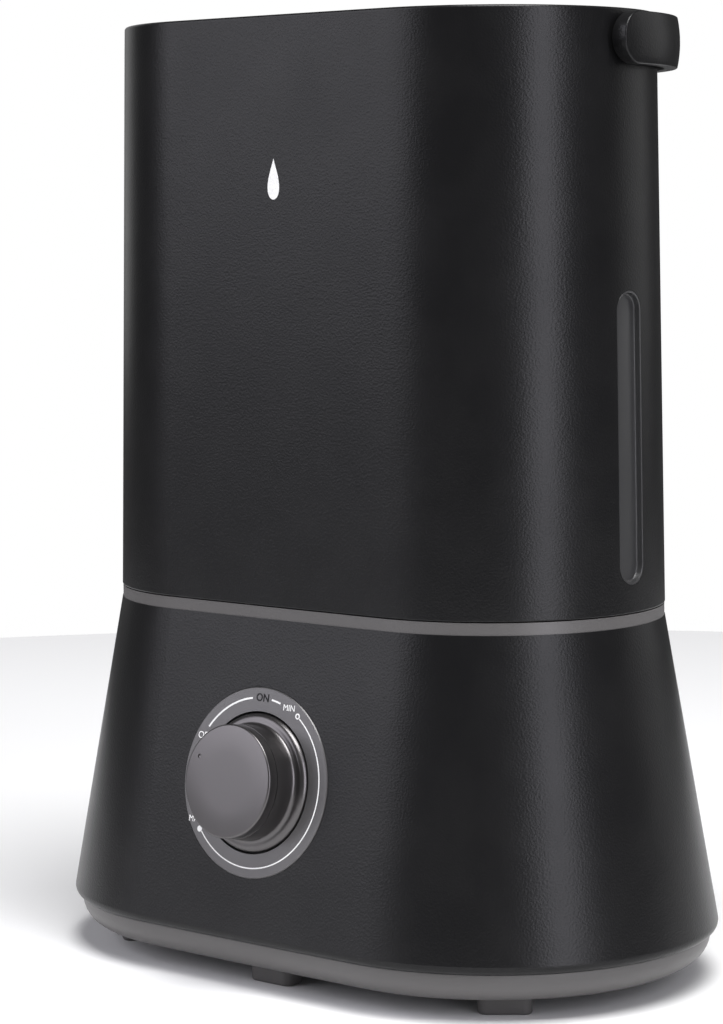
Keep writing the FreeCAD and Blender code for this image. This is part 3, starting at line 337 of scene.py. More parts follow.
def prism(corners, to_point, depth_low, depth_high):
    """A flat outline given thickness. to_point turns u, v, depth into a place."""
    count = len(corners)
    points = [to_point(u, v, depth) for depth in (depth_low, depth_high) for u, v in corners]
    faces = [tuple(reversed(range(count))), tuple(range(count, 2 * count))]
    faces += [(i, (i + 1) % count, count + (i + 1) % count, count + i) for i in range(count)]
    return closed_up(mesh_from("prism", points, faces))


def stadium(width, run, steps=12):
    """Corners of an upright slot about 0, 0."""
    radius = width / 2
    return (arc_points(0, run, radius, 0, 180, steps) + arc_points(0, -run, radius, 180, 360, steps))


def box_mesh(near, far):
    corners = [(near.x, near.y), (far.x, near.y), (far.x, far.y), (near.x, far.y)]
    return prism(corners, lambda u, v, w: (u, v, w), near.z, far.z)


def finished(name, mesh, body, finish, replaces=(), crease=32.0, keep_normals=False):
    """Names a finished shape, smooths it, gives it its finish and sets it on its body."""
    obj = mesh_object(name, mesh)
    mesh.name = name
    mesh.materials.clear()
    mesh.materials.append(finish)
    if not keep_normals:
        mesh.shade_smooth()
        mesh.set_sharp_from_angle(angle=math.radians(crease))
    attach(obj, body)
    if replaces:
        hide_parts(*replaces)
    return obj


# ---------------------------------------------------------------- geometry node trees
class Tree:
    """A geometry node tree with named inputs, ending in Realize Instances and Set Material."""

    def __init__(self, name, inputs):
        self.tree = bpy.data.node_groups.new(name, "GeometryNodeTree")
        face = self.tree.interface
        face.new_socket(name="Geometry", in_out="INPUT", socket_type="NodeSocketGeometry")
        self.ids = {
            label: face.new_socket(name=label, in_out="INPUT", socket_type="NodeSocket" + kind).identifier
            for label, kind in {**inputs, "Finish": "Material"}.items()
        }
        face.new_socket(name="Geometry", in_out="OUTPUT", socket_type="NodeSocketGeometry")
        self.start = self.add("NodeGroupInput")
        self.stop = self.add("NodeGroupOutput")

    def add(self, kind, **settings):
        node = self.tree.nodes.new(kind)
        for key, value in settings.items():
            setattr(node, key, value)
        return node

    def join(self, out, into):
        self.tree.links.new(out, into)

    def given(self, label):
        return self.start.outputs[label]

    def maths(self, operation, first, second):
        node = self.add("ShaderNodeMath", operation=operation)
        for socket, value in zip(node.inputs, (first, second)):
            if isinstance(value, (int, float)):
                socket.default_value = value
            else:
                self.join(value, socket)
        return node.outputs[0]

    def end(self, geometry):
        realize = self.add("GeometryNodeRealizeInstances")
        paint = self.add("GeometryNodeSetMaterial")
        self.join(geometry, realize.inputs["Geometry"])
        self.join(realize.outputs["Geometry"], paint.inputs["Geometry"])
        self.join(self.given("Finish"), paint.inputs["Material"])
        self.join(paint.outputs["Geometry"], self.stop.inputs[0])

    def grow(self, start, values, scrap=()):
        """Runs the tree on the object start and returns the shape as a plain mesh."""
        step = start.modifiers.new("grow", "NODES")
        step.node_group = self.tree
        for label, value in values.items():
            step[self.ids[label]] = value
        mesh = taken(start)
        for obj in scrap:
            bpy.data.objects.remove(obj)
        return mesh


def sweep_tree():
    """A closed section carried round a closed outline that lies level."""
    tree = Tree("outline_sweep", {"Section": "Object"})
    section = tree.add("GeometryNodeObjectInfo")
    upright = tree.add("GeometryNodeSetCurveNormal", mode="Z_UP")
    sweep = tree.add("GeometryNodeCurveToMesh")
    tree.join(tree.given("Section"), section.inputs["Object"])
    tree.join(tree.given("Geometry"), upright.inputs["Curve"])
    tree.join(upright.outputs["Curve"], sweep.inputs["Curve"])
    tree.join(section.outputs["Geometry"], sweep.inputs["Profile Curve"])
    tree.end(sweep.outputs["Mesh"])
    return tree


def copies_tree():
    """One copy of a piece at every point, turned as the point's own turn says."""
    tree = Tree("placed_copies", {"Piece": "Object"})
    piece = tree.add("GeometryNodeObjectInfo")
    turn = tree.add("GeometryNodeInputNamedAttribute", data_type="FLOAT_VECTOR")
    turn.inputs["Name"].default_value = "turn"
    place = tree.add("GeometryNodeInstanceOnPoints")
    tree.join(tree.given("Piece"), piece.inputs["Object"])
    tree.join(tree.given("Geometry"), place.inputs["Points"])
    tree.join(piece.outputs["Geometry"], place.inputs["Instance"])
    tree.join(turn.outputs["Attribute"], place.inputs["Rotation"])
    tree.end(place.outputs["Instances"])
    return tree


def ring_tree():
    """Copies of a piece in a ring about Z, each turned to face outwards."""
    tree = Tree("ring_of_copies", {"Piece": "Object", "Count": "Int", "Radius": "Float"})
    piece = tree.add("GeometryNodeObjectInfo")
    circle = tree.add("GeometryNodeMeshCircle")
    count = tree.add("GeometryNodeInputIndex")
    turn = tree.add("ShaderNodeCombineXYZ")
    place = tree.add("GeometryNodeInstanceOnPoints")
    tree.join(tree.given("Piece"), piece.inputs["Object"])
    tree.join(tree.given("Count"), circle.inputs["Vertices"])
    tree.join(tree.given("Radius"), circle.inputs["Radius"])
    step = tree.maths("DIVIDE", TURN, tree.given("Count"))
    tree.join(tree.maths("MULTIPLY", count.outputs[0], step), turn.inputs["Z"])
    tree.join(circle.outputs["Mesh"], place.inputs["Points"])
    tree.join(piece.outputs["Geometry"], place.inputs["Instance"])
    tree.join(turn.outputs["Vector"], place.inputs["Rotation"])
    tree.end(place.outputs["Instances"])
    return tree


def coil_tree():
    """A round wire wound into an open coil about Z."""
    tree = Tree("coil", {"Turns": "Float", "Radius": "Float", "Height": "Float", "Wire": "Float"})
    spiral = tree.add("GeometryNodeCurveSpiral")
    wire = tree.add("GeometryNodeCurvePrimitiveCircle")
    sweep = tree.add("GeometryNodeCurveToMesh")
    spiral.inputs["Resolution"].default_value = 28
    wire.inputs["Resolution"].default_value = 12
    sockets = {"Turns": ["Rotations"], "Radius": ["Start Radius", "End Radius"], "Height": ["Height"]}
    for label, names in sockets.items():
        for name in names:
            tree.join(tree.given(label), spiral.inputs[name])
    tree.join(tree.given("Wire"), wire.inputs["Radius"])
    tree.join(spiral.outputs["Curve"], sweep.inputs["Curve"])
    tree.join(wire.outputs["Curve"], sweep.inputs["Profile Curve"])
    sweep.inputs["Fill Caps"].default_value = True
    tree.end(sweep.outputs["Mesh"])
    return tree


def closed_line(name, points):
    """A closed straight-run curve object through points."""
    data = bpy.data.curves.new(name, "CURVE")
    data.dimensions = "3D"
    line = data.splines.new("POLY")
    line.points.add(len(points) - 1)
    for knot, point in zip(line.points, points):
        knot.co = (*point, 1.0)
    line.use_cyclic_u = True
    return link(bpy.data.objects.new(name, data))


def point_set(places):
    """Points for placed_copies: pairs of place and turn."""
    mesh = bpy.data.meshes.new("places")
    mesh.from_pydata([tuple(p) for p, _ in places], [], [])
    turns = mesh.attributes.new("turn", "FLOAT_VECTOR", "POINT")
    turns.data.foreach_set("vector", [value for _, turn in places for value in turn])
    return mesh_object("places", mesh)


def swept(plan, section, finish, height=0.0, per_end=96, per_side=16):
    """section, corners (out, up), carried round the plan outline."""
    raised = Vector((0, 0, height))
    outline = closed_line("outline", [plan.at(a)[0] + raised for a in plan.angles(per_end, per_side)])
    cut = closed_line("section", [(out, -up, 0.0) for out, up in section])
    return closed_up(sweep_tree().grow(outline, {"Section": cut, "Finish": finish}, [cut]))


def placed_copies(piece_mesh, places, finish):
    piece = mesh_object("piece", piece_mesh)
    return copies_tree().grow(point_set(places), {"Piece": piece, "Finish": finish}, [piece])


def ring_of(piece_mesh, count, radius, finish):
    piece = mesh_object("piece", piece_mesh)
    start = mesh_object("start", bpy.data.meshes.new("start"))
    values = {"Piece": piece, "Count": count, "Radius": radius, "Finish": finish}
    return ring_tree().grow(start, values, [piece])


# ---------------------------------------------------------------- shared shader effects
def effect_group(name, inputs, outputs):
    tree = bpy.data.node_groups.new(name, "ShaderNodeTree")
    for label, kind, default in inputs:
        socket = tree.interface.new_socket(name=label, in_out="INPUT", socket_type=kind)
        if default is not None:
            socket.default_value = default
    for label in outputs:
        tree.interface.new_socket(name=label, in_out="OUTPUT", socket_type="NodeSocketFloat")
    return tree, tree.nodes.new("NodeGroupInput"), tree.nodes.new("NodeGroupOutput")


def shader_maths(tree, operation, first, second=0.0, third=0.0):
    node = tree.nodes.new("ShaderNodeMath")
    node.operation = operation
    for socket, value in zip(node.inputs, (first, second, third)):
        if isinstance(value, (int, float)):
            socket.default_value = value
        else:
            tree.links.new(value, socket)
    return node.outputs[0]


def moulded_grain():
    """Fine pebbled skin of moulded plastic, and slow changes of tone across it."""
    if "moulded_grain" in bpy.data.node_groups:
        return bpy.data.node_groups["moulded_grain"]
    tree, start, stop = effect_group(
        "moulded_grain",
        [("Vector", "NodeSocketVector", None), ("Grain Size", "NodeSocketFloat", 0.001),
         ("Patch Size", "NodeSocketFloat", 0.03)],
        ["Height", "Tone"],
    )
    fine = shader_maths(tree, "DIVIDE", 1.0, start.outputs["Grain Size"])
    broad = shader_maths(tree, "DIVIDE", 1.0, start.outputs["Patch Size"])
    pebbles = tree.nodes.new("ShaderNodeTexVoronoi")
    pebbles.feature = "SMOOTH_F1"
    pebbles.inputs["Smoothness"].default_value = 0.6
    haze = tree.nodes.new("ShaderNodeTexNoise")
    haze.inputs["Detail"].default_value = 2.0
    patches = tree.nodes.new("ShaderNodeTexNoise")
    patches.inputs["Detail"].default_value = 3.0
    for node, scale in ((pebbles, fine), (haze, shader_maths(tree, "MULTIPLY", fine, 1.7)), (patches, broad)):
        tree.links.new(start.outputs["Vector"], node.inputs["Vector"])
        tree.links.new(scale, node.inputs["Scale"])
    height = shader_maths(tree, "MULTIPLY_ADD", haze.outputs[0], 0.5, pebbles.outputs["Distance"])
    tree.links.new(height, stop.inputs["Height"])
    tree.links.new(patches.outputs[0], stop.inputs["Tone"])
    return tree


def drawn_lines():
    """Fine parallel lines left by brushing or turning, along the vector's long way."""
    if "drawn_lines" in bpy.data.node_groups:
        return bpy.data.node_groups["drawn_lines"]
    tree, start, stop = effect_group(
        "drawn_lines",
        [("Vector", "NodeSocketVector", None), ("Line Width", "NodeSocketFloat", 0.0002),
         ("Turned", "NodeSocketFloat", 0.0)],
        ["Height", "Tone"],
    )
    parts = tree.nodes.new("ShaderNodeSeparateXYZ")
    tree.links.new(start.outputs["Vector"], parts.inputs[0])
    across, along, up = parts.outputs
    square = shader_maths(tree, "ADD", shader_maths(tree, "MULTIPLY", across, across),
                          shader_maths(tree, "MULTIPLY", along, along))
    radius = shader_maths(tree, "SQRT", square)
    mixed = tree.nodes.new("ShaderNodeMix")
    for value, socket in ((start.outputs["Turned"], 0), (up, 2), (radius, 3)):
        tree.links.new(value, mixed.inputs[socket])
    place = shader_maths(tree, "DIVIDE", mixed.outputs[0], start.outputs["Line Width"])
    lines = tree.nodes.new("ShaderNodeTexNoise")
    lines.noise_dimensions = "1D"
    lines.inputs["Scale"].default_value = 1.0
    lines.inputs["Detail"].default_value = 3.0
    tree.links.new(place, lines.inputs["W"])
    tree.links.new(lines.outputs[0], stop.inputs["Height"])
    tree.links.new(lines.outputs[0], stop.inputs["Tone"])
    return tree


def settled_dust():
    """Where a faint film gathers: patchy, and thicker in soft blotches."""
    if "settled_dust" in bpy.data.node_groups:
        return bpy.data.node_groups["settled_dust"]
    tree, start, stop = effect_group(
        "settled_dust",
        [("Vector", "NodeSocketVector", None), ("Blotch Size", "NodeSocketFloat", 0.02),
         ("Amount", "NodeSocketFloat", 0.2)],
        ["Mask"],
    )
    scale = shader_maths(tree, "DIVIDE", 1.0, start.outputs["Blotch Size"])
    cloud = tree.nodes.new("ShaderNodeTexNoise")
    cloud.inputs["Detail"].default_value = 5.0
    cloud.inputs["Roughness"].default_value = 0.6
    tree.links.new(start.outputs["Vector"], cloud.inputs["Vector"])
    tree.links.new(scale, cloud.inputs["Scale"])
    spread = shader_maths(tree, "SUBTRACT", cloud.outputs[0], 0.42)
    spread = shader_maths(tree, "MULTIPLY", spread, 4.0)
    node = tree.nodes.new("ShaderNodeClamp")
    tree.links.new(spread, node.inputs[0])
    mask = shader_maths(tree, "MULTIPLY", node.outputs[0], start.outputs["Amount"])
    tree.links.new(mask, stop.inputs["Mask"])
    return tree


class Finish:
    """A procedural finish: one Principled BSDF fed by the shared effects."""

    def __init__(self, name, roughness, metallic=0.0, **constants):
        self.material = bpy.data.materials.new(name)
        self.material.use_nodes = True
        self.nodes = self.material.node_tree.nodes
        self.links = self.material.node_tree.links
        self.shader = self.nodes["Principled BSDF"]
        self.shader.inputs["Metallic"].default_value = metallic
        self.shader.inputs["Roughness"].default_value = roughness
        self.roughness = roughness
        for label, value in constants.items():
            self.shader.inputs[label.replace("_", " ")].default_value = value
        self.place = self.nodes.new("ShaderNodeTexCoord").outputs["Object"]

    def mapped(self, location=(0, 0, 0), rotation=(0, 0, 0), scale=(1, 1, 1)):
        """Object coordinates, centred or turned on a piece."""
        node = self.nodes.new("ShaderNodeMapping")
        node.inputs["Location"].default_value = location
        node.inputs["Rotation"].default_value = rotation
        node.inputs["Scale"].default_value = scale
        self.links.new(self.place, node.inputs["Vector"])
        return node.outputs[0]

    def effect(self, group, vector=None, **values):
        node = self.nodes.new("ShaderNodeGroup")
        node.node_tree = group
        self.links.new(vector or self.place, node.inputs["Vector"])
        for label, value in values.items():
            node.inputs[label.replace("_", " ")].default_value = value
        return node.outputs

    def paint(self, mask, first, second, source=None):
        """Base colour going from first to second with the mask; source is painted over."""
        node = self.nodes.new("ShaderNodeMix")
        node.data_type = "RGBA"
        self.links.new(mask, node.inputs[0])
        if source is None:
            node.inputs[6].default_value = (*first, 1)
        else:
            self.links.new(source, node.inputs[6])
        node.inputs[7].default_value = (*second, 1)
        self.links.new(node.outputs[2], self.shader.inputs["Base Color"])
        return node.outputs[2]

    def vary_roughness(self, mask, spread):
        node = self.nodes.new("ShaderNodeMapRange")
        node.inputs["To Min"].default_value = max(self.roughness - spread, 0.02)
        node.inputs["To Max"].default_value = min(self.roughness + spread, 1.0)
        self.links.new(mask, node.inputs["Value"])
        self.links.new(node.outputs[0], self.shader.inputs["Roughness"])

    def relief(self, height, depth, strength=1.0):
        node = self.nodes.new("ShaderNodeBump")
        node.inputs["Strength"].default_value = strength
        node.inputs["Distance"].default_value = depth
        self.links.new(height, node.inputs["Height"])
        self.links.new(node.outputs[0], self.shader.inputs["Normal"])


def shade(base, factor):
    return tuple(min(c * factor, 1.0) for c in base)


def moulded(name, base, roughness, grain=0.9, depth=0.02, mottle=0.08, dust=0.0, spread=0.05, **constants):
    """Moulded plastic or rubber. grain and depth in millimetres."""
    finish = Finish(name, roughness, **constants)
    skin = finish.effect(moulded_grain(), Grain_Size=grain * MM, Patch_Size=0.03)
    painted = finish.paint(skin["Tone"], shade(base, 1 - mottle), shade(base, 1 + mottle))
    if dust:
        film = finish.effect(settled_dust(), Blotch_Size=0.025, Amount=dust)
        finish.paint(film["Mask"], None, (0.35, 0.34, 0.33), painted)
    finish.vary_roughness(skin["Tone"], spread)
    finish.relief(skin["Height"], depth * MM)
    return finish.material


def drawn(name, base, roughness, metallic, line=0.15, depth=0.01, turned=0.0, place=None,
          mottle=0.12, **constants):
    """Brushed or turned metal, or plastic with a drawn finish."""
    finish = Finish(name, roughness, metallic, **constants)
    vector = finish.mapped(**place) if place else None
    lines = finish.effect(drawn_lines(), vector, Line_Width=line * MM, Turned=turned)
    painted = finish.paint(lines["Tone"], shade(base, 1 - mottle), shade(base, 1 + mottle))
    film = finish.effect(settled_dust(), Blotch_Size=0.008, Amount=0.12)
    finish.paint(film["Mask"], None, shade(base, 0.7), painted)
    finish.vary_roughness(lines["Tone"], 0.08)
    finish.relief(lines["Height"], depth * MM)
    return finish.material


FINISHES = {}


def make_finishes():
    """Every finish of the object, by the material slot that it stands for."""
    own = colours()
    back = dial_place().inverted()
    onto_dial = {"location": tuple(back.translation), "rotation": tuple(back.to_euler())}
    FINISHES.update({
        "black_plastic": moulded("black_moulded", own.body, 0.31, grain=0.72, depth=0.040, mottle=0.05,
                                 dust=0.006, Specular_IOR_Level=0.235),
        "grey_plastic": moulded("warm_grey_moulded", own.trim, 0.38, grain=0.8, depth=0.010, mottle=0.04),
        "dark_tray": moulded("dark_tray_moulded", own.tray, 0.34, grain=0.9, depth=0.012, mottle=0.05,
                            dust=0.02),
        "white_plastic": moulded("white_moulded", own.inner, 0.42, grain=0.7, depth=0.008, mottle=0.02,
                                 Subsurface_Weight=0.05, Subsurface_Scale=0.002),
        "brushed_grey": drawn("dial_satin", own.dial, 0.34, 0.60, line=0.12, depth=0.006, turned=1.0,
                              place=onto_dial, mottle=0.05),
        "knob_satin": moulded("knob_satin", own.knob, 0.30, grain=0.35, depth=0.0015, mottle=0.03,
                              spread=0.02, Metallic=0.92),
        "smoked_window": moulded("smoked_window", own.window, 0.30, grain=0.5, depth=0.0006, mottle=0.03,
                                 spread=0.03, Transmission_Weight=0.12, IOR=1.49),
        "rubber": moulded("rubber_pads", shade(own.trim, 0.85), 0.62, grain=0.5, depth=0.012, mottle=0.06),
        "silicone": moulded("silicone_seal", (0.62, 0.62, 0.60), 0.5, grain=0.6, depth=0.006, mottle=0.03,
                            Subsurface_Weight=0.2, Subsurface_Scale=0.002),
        "steel": drawn("plated_steel", (0.56, 0.57, 0.58), 0.28, 1.0, line=0.10, depth=0.004),
        "aluminium": drawn("drawn_aluminium", (0.72, 0.73, 0.74), 0.36, 1.0, line=0.18, depth=0.006),
        "control_metal": drawn("control_can", (0.48, 0.47, 0.44), 0.32, 1.0, line=0.2, depth=0.005),
        "ceramic_metal": drawn("silvered_disc", (0.70, 0.69, 0.66), 0.30, 0.9, line=0.08, depth=0.003,
                               turned=1.0),
        "magnet": moulded("ferrite", (0.045, 0.043, 0.042), 0.55, grain=0.2, depth=0.01, mottle=0.15),
        "circuit_board": circuit_board(),
        "transformer_tape": drawn("winding_tape", (0.62, 0.45, 0.10), 0.35, 0.0, line=1.6, depth=0.03,
                                  mottle=0.2),
        "capacitor_sleeve": moulded("capacitor_sleeve", (0.022, 0.026, 0.05), 0.25, grain=2.0, depth=0.01),
        "printed_white": moulded("printed_white", own.mark, 0.5, grain=0.3, depth=0.003, mottle=0.02),
        "printed_dark": moulded("printed_dark", (0.008, 0.008, 0.009), 0.6, grain=0.3, depth=0.003,
                                mottle=0.02, Specular_IOR_Level=0.25),
    })


def circuit_board():
    """Green solder mask with paler copper tracks under it."""
    finish = Finish("circuit_board", 0.32)
    stretched = finish.mapped(scale=(1.0, 2.6, 1.0))
    tracks = finish.nodes.new("ShaderNodeTexBrick")
    layout = {"Scale": 90.0, "Mortar Size": 0.06, "Mortar Smooth": 0.1, "Brick Width": 0.8}
    for label, value in layout.items():
        tracks.inputs[label].default_value = value
    finish.links.new(stretched, tracks.inputs["Vector"])
    painted = finish.paint(tracks.outputs["Fac"], (0.012, 0.085, 0.035), (0.035, 0.19, 0.07))
    skin = finish.effect(moulded_grain(), Grain_Size=0.0004, Patch_Size=0.02)
    film = finish.effect(settled_dust(), Blotch_Size=0.01, Amount=0.1)
    finish.paint(film["Mask"], None, (0.2, 0.2, 0.18), painted)
    finish.vary_roughness(skin["Tone"], 0.06)
    finish.relief(tracks.outputs["Fac"], 0.05 * MM)
    return finish.material


# ---------------------------------------------------------------- operators
class HUMIDIFIER_OT_frame_finishes(bpy.types.Operator):
    """Gives every carried-over CAD part its procedural finish"""

    bl_idname = "humidifier.frame_finishes"
    bl_label = "Frame finishes"

    def execute(self, context):
        make_finishes()
        slots = {row["node"]: row["material_slot"] for row in frame["record"]["subparts"]}
        for name, node in frame["nodes"].items():
            for place in node.material_slots:
                place.material = FINISHES[slots[name]]
        return {"FINISHED"}


class HUMIDIFIER_OT_tank_shell(bpy.types.Operator):
    """Sweeps the tank's wall round the plan outline and cuts its window slot and pivot holes"""

    bl_idname = "humidifier.tank_shell"
    bl_label = "Tank shell"

    def execute(self, context):
        size, plan = sizes(), Plan()
        wall, draft, rim, foot = size.tank_wall, size.tank_draft, size.rim_round, size.foot_round
        rise = plan.rim - plan.foot
        outer = arc_points(-foot, foot, foot, -90, 0, 4)
        for i in range(1, 24):
            z = foot + (rise - rim - foot) * i / 24
            outer.append((-draft * z / rise, z))
        outer += arc_points(-draft - rim, rise - rim, rim, 0, 90, 8)
        ease = 0.35 * MM
        inner = [(-draft - wall + ease, rise), (-draft - wall, rise - ease), (-wall, ease), (-wall + ease, 0)]
        shell = swept(plan, outer + inner, FINISHES["black_plastic"], plan.foot, per_end=120)

        window = window_facts()
        slot = prism(stadium(window["width"], window["run"], 24),
                     lambda u, v, w: (w, window["y"] + u, window["z"] + v),
                     plan.half_width - 20 * MM, plan.half_width + 10 * MM)
        pivot = Vector(joint("handle_swing")["pos_m"])
        hole = [(u, v) for u, v in arc_points(0, 0, 5.1 * MM, 0, 360, 40)[:-1]]
        reach = plan.half_width - plan.tank_inset(pivot.z)
        holes = [prism(hole, lambda u, v, w: (w, pivot.y + u, pivot.z + v), *sorted((side * (reach - 10 * MM),
                 side * (reach + 5 * MM)))) for side in (-1, 1)]
        ledge_high, ledge_out = low("handle").z - 0.3 * MM, high("tank_shell").y
        ledge = box_mesh(Vector((-13 * MM, ledge_out - 7 * MM, ledge_high - 2.4 * MM)),
                         Vector((13 * MM, ledge_out, ledge_high)))
        shell = carved(shell, [slot, *holes], [ledge], bevel=size.window_bevel)
        facing_out(shell, plan)
        finished("tank_wall", shell, "tank", FINISHES["black_plastic"], ["tank_shell"],
                 keep_normals=True)
        return {"FINISHED"}


def window_facts():
    """Middle, width and half straight run of the level window's slot."""
    near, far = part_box("level_window")
    flange = 3.0 * MM
    width = far.y - near.y - 2 * flange
    run_length = far.z - near.z - 2 * flange
    y, z = (near.y + far.y) / 2, (near.z + far.z) / 2
    return {"y": y, "z": z, "width": width, "run": (run_length - width) / 2}


def facing_out(mesh, plan):
    """Sets exact normals on the tank's smooth outer face, so that cuts in it don't shade."""
    mesh.shade_smooth()
    mesh.set_sharp_from_angle(angle=math.radians(32))
    lean = sizes().tank_draft / (plan.rim - plan.foot)
    normals = [Vector(n.vector) for n in mesh.corner_normals]
    limit_low, limit_high = plan.foot + sizes().foot_round - 1e-6, plan.rim - sizes().rim_round + 1e-6
    for face in mesh.polygons:
        exact = (plan.normal_at(face.center.x, face.center.y) + Vector((0, 0, lean))).normalized()
        if face.normal.dot(exact) < 0.999:
            continue
        for loop in face.loop_indices:
            place = mesh.vertices[mesh.loops[loop].vertex_index].co
            if limit_low <= place.z <= limit_high:
                normals[loop] = (plan.normal_at(place.x, place.y) + Vector((0, 0, lean))).normalized()
    mesh.normals_split_custom_set([tuple(n) for n in normals])


class HUMIDIFIER_OT_level_window(bpy.types.Operator):
    """Builds the smoked level window: a shallow tray that lines its slot, with a flange behind the wall"""

    bl_idname = "humidifier.level_window"
    bl_label = "Level window"

    def execute(self, context):
        size, plan, facts = sizes(), Plan(), window_facts()
        snug, wall, recess = 0.06 * MM, size.tank_wall, size.window_recess
        half = facts["width"] / 2 - snug
        flange = facts["width"] / 2 + 2.9 * MM
        behind = wall + 0.05 * MM
        rim = size.window_rim
        loops = [(flange * share, wall + 1.4 * MM) for share in (0.0, 0.3, 0.6, 0.85, 1.0)]
        loops += [(flange, behind), (half, behind), (half, wall * 0.6), (half, 0.16 * MM),
                  (half - 0.10 * MM, 0.03 * MM), (half - rim + 0.14 * MM, 0.03 * MM),
                  (half - rim, 0.18 * MM), (half - rim - 0.08 * MM, recess * 0.5)]
        floor, bend = half - rim - 0.16 * MM, 0.5 * MM
        loops += [(floor - bend + bend * math.cos(a), recess - bend + bend * math.sin(a))
                  for a in (0.0, 0.4, 0.8, 1.2, math.pi / 2)]
        loops += [((floor - bend) * share, recess) for share in (0.75, 0.5, 0.25, 0.0)]
        steps, rows = 20, 24
        points, faces = [], []
        for reach, depth in loops:
            outline = arc_points(0, facts["run"], reach, 0, 180, steps)
            outline += [(-reach, facts["run"] * (1 - 2 * k / rows)) for k in range(1, rows)]
            outline += arc_points(0, -facts["run"], reach, 180, 360, steps)
            outline += [(reach, facts["run"] * (2 * k / rows - 1)) for k in range(1, rows)]
            for u, v in outline:
                y, z = facts["y"] + u, facts["z"] + v
                radius = plan.end - plan.tank_inset(z) - depth
                points.append((plan.end_x + math.sqrt(radius * radius - y * y), y, z))
        count = len(points) // len(loops)
        for k in range(len(loops) - 1):
            for i in range(count):
                j = (i + 1) % count
                faces.append((k * count + i, k * count + j, (k + 1) * count + j, (k + 1) * count + i))
        tray = closed_up(mesh_from("tray", points, faces), merge=1e-6)
        finished("window_tray", tray, "tank", FINISHES["smoked_window"],
                 ["level_window"], crease=36)
        return {"FINISHED"}


class HUMIDIFIER_OT_handle(bpy.types.Operator):
    """Builds the carrying handle: a crowned band round the back with a round end at each pivot"""

    bl_idname = "humidifier.handle"
    bl_label = "Handle"

    def execute(self, context):
        size, plan = sizes(), Plan()
        pivot = Vector(joint("handle_swing")["pos_m"])
        half = (high("handle").z - low("handle").z) / 2
        edge, thick, crown = size.handle_edge, size.handle_thickness, size.handle_crown
        base = size.handle_gap - plan.tank_inset(pivot.z)
        start = math.asin(pivot.y / (plan.end + base))
        sweep_angles = [a for a in plan.angles(96, 16) if start + 0.03 < a < math.pi - start - 0.03]

        def columns(inset):
            """Places along the band, right pivot to left pivot, with the band's half height there."""
            radius = half - inset
            cap = []
            for i in range(13):
                angle = math.pi / 2 * i / 12
                cap.append((pivot.y - radius * math.cos(angle), radius * math.sin(angle)))
            line = [("right", y, h) for y, h in cap]
            line += [("turn", a, radius) for a in sweep_angles]
            return line + [("left", y, h) for y, h in reversed(cap)]

        def spot(column, out, share):
            kind, value, height = column
            if kind == "turn":
                angle = value
            else:
                angle = math.asin(max(-1.0, min(1.0, value / (plan.end + base + out))))
                angle = angle if kind == "right" else math.pi - angle
            z = height * share
            bulge = crown * (z / half) ** 2 if out > thick / 2 else 0.0
            point, normal = plan.at(angle)
            return point + normal * (base + out - bulge) + Vector((0, 0, pivot.z + z))

        layers = [(0.0, edge * 0.6), (edge * 0.25, edge * 0.2), (edge * 0.7, 0.0)]
        for i in range(7):
            angle = math.pi / 2 * i / 6
            layers.append((thick - edge + edge * math.sin(angle), edge - edge * math.cos(angle)))
        shape = bmesh.new()
        loops = []
        for out, inset in layers:
            line = columns(inset)
            top = [shape.verts.new(spot(c, out, 1.0)) for c in line]
            bottom = [shape.verts.new(spot(c, out, -1.0)) for c in line[1:-1]]
            loops.append(top + bottom[::-1])
        for here, after in zip(loops, loops[1:]):
            for i in range(len(here)):
                j = (i + 1) % len(here)
                shape.faces.new((here[i], here[j], after[j], after[i]))
        rows = 8
        for (out, inset), loop in ((layers[0], loops[0]), (layers[-1], loops[-1])):
            line = columns(inset)
            count = len(line)
            grid = [[loop[0]] * (rows + 1)]
            for k in range(1, count - 1):
                inner = [shape.verts.new(spot(line[k], out, 1 - 2 * r / rows)) for r in range(1, rows)]
                grid.append([loop[k], *inner, loop[len(loop) - k]])
            grid.append([loop[count - 1]] * (rows + 1))
            for here, after in zip(grid, grid[1:]):
                for r in range(rows):
                    corners = list(dict.fromkeys((here[r], here[r + 1], after[r + 1], after[r])))
                    if len(corners) > 2:
                        shape.faces.new(corners)
        bmesh.ops.remove_doubles(shape, verts=shape.verts, dist=1e-7)
        bmesh.ops.recalc_face_normals(shape, faces=shape.faces)
        band = bpy.data.meshes.new("band")
        shape.to_mesh(band)
        shape.free()
        reach = plan.half_width - plan.tank_inset(pivot.z)
        bosses = []
        for side in (-1, 1):
            place = Matrix.Translation((0, pivot.y, pivot.z)) @ Matrix.Rotation(side * math.pi / 2, 4, "Y")
            inside, outside = reach - size.tank_wall - 1.1 * MM, reach + size.handle_gap + 0.8 * MM
            bosses.append(lathe([(1.55 * MM, inside), (4.6 * MM, inside), (5 * MM, inside + 0.4 * MM),
                                 (5 * MM, outside), (1.55 * MM, outside)], 40, place))
        finished("carrying_handle", joined([band, *bosses]), "handle",
                 FINISHES["black_plastic"], ["handle"], crease=40)
        return {"FINISHED"}


